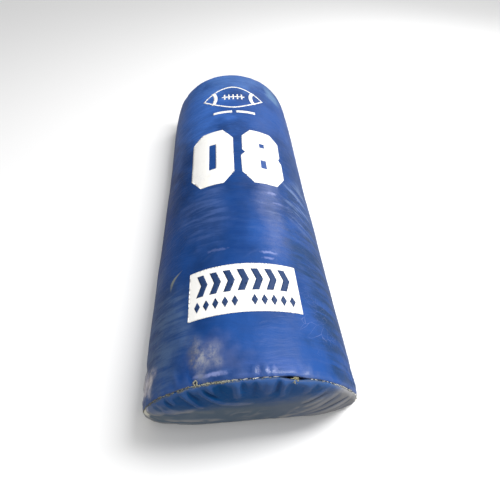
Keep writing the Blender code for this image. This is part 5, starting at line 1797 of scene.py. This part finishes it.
class BAG_OT_handles(bpy.types.Operator):
    """Builds the two web handles with their sleeves, patches and box stitching"""

    bl_idname = "bag.handles"
    bl_label = "Handles"

    def execute(self, context):
        webbing = weave_finish("webbing", (0.016, 0.016, 0.019), 0.0016)
        vinyl = Vinyl("handle_vinyl", dirt=0.3).material
        thread = thread_finish("handle_thread", darker(colour("thread"), 0.7))
        stitches = thread_group("handle_stitches", stitch_strand)
        for label, side in (("left", -1), ("right", 1)):
            x = side * HANDLE_X
            self.straps(label, x, webbing)
            self.sleeve(label, x, vinyl, thread, stitches)
            for end, y in PATCH_PLACES:
                self.patch(label + "_handle_patch_" + end, (x, y), vinyl, thread, stitches)
        return {"FINISHED"}

    def straps(self, label, x, finish):
        """The strap in two halves, which meet inside the sleeve."""
        low, high = (corner.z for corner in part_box(label + "_handle_strap"))
        middle, half = (low + high) / 2, (high - low) / 2
        for end, start, stop, meet, grip in STRAP_HALVES:
            loops = []
            for y in np.linspace(start, stop, 46):
                wobble = 0.0002 * math.sin(y * 170 + x * 40)
                ring = rounded_box(STRAP_HALF_WIDTH, half, half * 0.98)
                loops.append([(x + wobble + a, y, middle + b) for a, b in ring])
            points, faces = loft(loops)
            if end == "foot":
                faces = [face[::-1] for face in faces]
            mesh = make_mesh("strap", points, faces)
            piece = add_piece(f"{label}_strap_{end}", mesh, finish, body=None)
            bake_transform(piece)
            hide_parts(label + "_handle_strap")

    def sleeve(self, label, x, finish, thread, stitches):
        """The padded tube that the hand closes round, with a stitched edge."""
        low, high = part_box(label + "_handle_sleeve")
        middle_z, half_z = (low.z + high.z) / 2, (high.z - low.z) / 2
        half_x, half_y = (high.x - low.x) / 2, (high.y - low.y) / 2
        loops = []
        for share in np.linspace(-1, 1, 53):
            puff = 1 - 0.1 * smooth((abs(share) - 0.9) / 0.1) - 0.05 * abs(ripple(np.array([share]), 0.12, 70)[0])
            ring = rounded_box(half_x - 0.0004, (half_z - 0.0001) * puff, (half_z - 0.0001) * puff * 0.98, 7)
            loops.append([(x + a, HANDLE_Y + share * half_y, middle_z + b) for a, b in ring])
        hollow = rounded_box(half_x - 0.0019, half_z - 0.0019, 0.0004, 7)
        inner = [[(x + a, HANDLE_Y + share * half_y, middle_z + b) for a, b in hollow] for share in (1, 0, -1)]
        points, faces = loft([*loops, *inner, loops[0]], closed_ends=False)
        shape = bmesh.new()
        shape.from_mesh(make_mesh("tube", points, faces))
        bmesh.ops.remove_doubles(shape, verts=shape.verts, dist=1e-7)
        bmesh.ops.recalc_face_normals(shape, faces=shape.faces)
        mesh = bpy.data.meshes.new(label + "_sleeve_skin")
        shape.to_mesh(mesh)
        shape.free()
        mesh.shade_smooth()
        mesh.set_sharp_from_angle(angle=math.radians(40))
        piece = add_piece(label + "_sleeve_skin", mesh, finish, label + "_grip")
        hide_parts(label + "_handle_sleeve")
        side = math.copysign(1.0, x)
        edge = x + side * (half_x - 0.0045)
        spots = [(edge, y, low.z + 0.0003) for y in np.linspace(-0.94, 0.94, 40) * half_y + HANDLE_Y]
        values = laid(0.0038, 0.0029, 0.0006, 0.08, 0.0001, Seed=60)
        line = (spots, [DOWN] * len(spots))
        grown(label + "_sleeve_stitches", stitches, [line], values, thread, label + "_grip")

    def patch(self, node, centre, finish, thread, stitches):
        """A square of vinyl under the strap's end, held by a stitched box with a cross in it."""
        low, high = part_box(node)
        half = (high.x - low.x) / 2
        loops = []
        for inset, height in PATCH_EDGE:
            ring = rounded_box(half - inset, half - inset, 0.006 - inset)
            loops.append([(centre[0] + a, centre[1] + b, low.z + height) for a, b in ring])
        points, faces = loft(loops)
        piece = add_piece(node + "_skin", make_mesh(node, points, faces), finish)
        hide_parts(node)
        edge = rounded_box(half - 0.004, half - 0.004, 0.003)
        z = low.z - 0.0001
        rim = [(centre[0] + a, centre[1] + b, z) for a, b in [*edge, edge[0]]]
        strap_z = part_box(node.split("_patch")[0] + "_strap")[0].z - 0.0001
        cross = CROSS_HALF
        box = [(-cross, -cross), (cross, -cross), (cross, cross), (-cross, cross), (-cross, -cross), (cross, cross)]
        box = [(centre[0] + a, centre[1] + b, strap_z) for a, b in box]
        other = [(centre[0] - cross, centre[1] + cross, strap_z), (centre[0] + cross, centre[1] - cross, strap_z)]
        lines = [(line, [DOWN] * len(line)) for line in (rim, box, other)]
        values = laid(0.0032, 0.0026, 0.0006, 0.06, 0.0001, Seed=61)
        grown(node + "_stitches", stitches, lines, values, thread)


class BAG_OT_zipper(bpy.types.Operator):
    """Gives the zipper's solids their finishes"""

    bl_idname = "bag.zipper"
    bl_label = "Zipper"

    def execute(self, context):
        tape = zipper_finish("zipper_tape")
        metal = metal_finish("zipper_metal")
        for name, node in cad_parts.items():
            if name.startswith("zipper"):
                finish = tape if "half" in name else metal
                for slot in node.material_slots:
                    slot.material = finish
        return {"FINISHED"}


# Camera, as fitted to the photograph
CAMERA_PLACE = (0.0021, -0.8197, 0.8001)
CAMERA_YAW = math.radians(2.358)
CAMERA_PITCH = math.radians(48.937)
CAMERA_ROLL = math.radians(2.007)
FOCAL_PIXELS = 345
IMAGE_PIXELS = 500


def make_camera():
    """The camera at the photograph's viewing angle."""
    forward = Vector((
        math.sin(CAMERA_YAW) * math.cos(CAMERA_PITCH),
        math.cos(CAMERA_YAW) * math.cos(CAMERA_PITCH),
        -math.sin(CAMERA_PITCH),
    ))
    level = Vector((math.cos(CAMERA_YAW), -math.sin(CAMERA_YAW), 0.0))
    down = forward.cross(level)
    right = math.cos(CAMERA_ROLL) * level + math.sin(CAMERA_ROLL) * down
    up = math.sin(CAMERA_ROLL) * level - math.cos(CAMERA_ROLL) * down
    data = bpy.data.cameras.new("camera")
    data.sensor_width = 36
    data.lens = FOCAL_PIXELS / IMAGE_PIXELS * data.sensor_width
    data.clip_start = 0.01
    camera = bpy.data.objects.new("camera", data)
    axes = Matrix((right, up, -forward)).transposed().to_4x4()
    camera.matrix_world = Matrix.Translation(CAMERA_PLACE) @ axes
    bpy.context.scene.collection.objects.link(camera)
    bpy.context.scene.camera = camera


def make_light(name, place, target, width, height, power):
    """A soft rectangular light that faces a target."""
    data = bpy.data.lights.new(name, "AREA")
    data.shape = "RECTANGLE"
    data.size = width
    data.size_y = height
    data.energy = power
    light = bpy.data.objects.new(name, data)
    light.location = place
    light.rotation_mode = "QUATERNION"
    light.rotation_quaternion = (Vector(target) - Vector(place)).to_track_quat("-Z", "Y")
    bpy.context.scene.collection.objects.link(light)


def make_floor():
    """A wide pale floor."""
    finish = Finish("floor_paper", Roughness=0.9, Specular_IOR_Level=0.0)
    seen = finish.node("ShaderNodeLightPath", out="Is Camera Ray")
    finish.set(Base_Color=finish.blend(seen, (0.36, 0.36, 0.36), (0.92, 0.92, 0.92)))
    reach = 12.0
    corners = [(-reach, -reach, -0.0002), (reach, -reach, -0.0002), (reach, reach, -0.0002), (-reach, reach, -0.0002)]
    floor = bpy.data.objects.new("floor", make_mesh("floor", corners, [(0, 1, 2, 3)]))
    floor.data.materials.append(finish.material)
    bpy.context.scene.collection.objects.link(floor)


class BAG_OT_stage(bpy.types.Operator):
    """Sets up the floor, the soft lights and the camera"""

    bl_idname = "bag.stage"
    bl_label = "Stage"

    def execute(self, context):
        scene = context.scene
        stage = scene.bag_stage
        make_camera()
        make_floor()
        wide = stage.key_width
        make_light("key", (1.35, -0.05, 2.1), (0.0, -0.1, 0.1), 0.5 * wide, wide, stage.key_power)
        make_light("back", (1.3, 1.6, 1.25), (0.0, 0.0, 0.1), 0.8, 0.8, stage.back_power)
        make_light("fill", (-1.4, -1.8, 1.0), (0.0, -0.3, 0.1), 1.2, 1.2, stage.fill_power)
        world = bpy.data.worlds.new("studio")
        world.use_nodes = True
        tree = Tree(world.node_tree)
        way = tree.node("ShaderNodeTexCoord", out="Generated")
        rise = tree.node("ShaderNodeSeparateXYZ", None, {0: way}, "Z")
        lobe = tree.between(tree.vector("DOT_PRODUCT", way, (0.78, 0.3, 0.55), out="Value"), 0.1, 1.0)
        sky = world.node_tree.nodes["Background"]
        tree.feed(sky.inputs["Color"], (1.0, 1.0, 1.0))
        tree.feed(sky.inputs["Strength"], (0.13 + tree.between(rise, 0.55, 0.95) * 0.4 + lobe * 0.75) * stage.sky)
        scene.world = world
        scene.view_settings.view_transform = "Standard"
        return {"FINISHED"}


class BAG_PT_panel(bpy.types.Panel):
    """Lists the bag's operators and settings"""

    bl_label = "Tackling bag"
    bl_idname = "BAG_PT_panel"
    bl_space_type = "VIEW_3D"
    bl_region_type = "UI"
    bl_category = "Tackling bag"

    def draw(self, context):
        scene = context.scene
        for group in (scene.bag_sizes, scene.bag_colours, scene.bag_stage):
            for name in group.__annotations__:
                self.layout.prop(group, name)
        for operator in OPERATORS:
            self.layout.operator(operator.bl_idname)


OPERATORS = (
    BAG_OT_stage, BAG_OT_cover, BAG_OT_seams, BAG_OT_prints, BAG_OT_back, BAG_OT_foam, BAG_OT_handles, BAG_OT_zipper,
)
CLASSES = (BagSizes, BagColours, StageSettings, *OPERATORS, BAG_PT_panel)


def register():
    """Adds the classes and the scene's settings."""
    for each in CLASSES:
        bpy.utils.register_class(each)
    bpy.types.Scene.bag_sizes = bpy.props.PointerProperty(type=BagSizes)
    bpy.types.Scene.bag_colours = bpy.props.PointerProperty(type=BagColours)
    bpy.types.Scene.bag_stage = bpy.props.PointerProperty(type=StageSettings)


def unregister():
    """Removes the classes and the scene's settings."""
    del bpy.types.Scene.bag_sizes
    del bpy.types.Scene.bag_colours
    del bpy.types.Scene.bag_stage
    for each in reversed(CLASSES):
        bpy.utils.unregister_class(each)


def main():
    """Dresses the whole bag."""
    register()
    bpy.ops.bag.stage()
    bpy.ops.bag.cover()
    bpy.ops.bag.back()
    bpy.ops.bag.foam()
    bpy.ops.bag.seams()
    bpy.ops.bag.prints()
    bpy.ops.bag.handles()
    bpy.ops.bag.zipper()


if __name__ == "__main__":
    main()
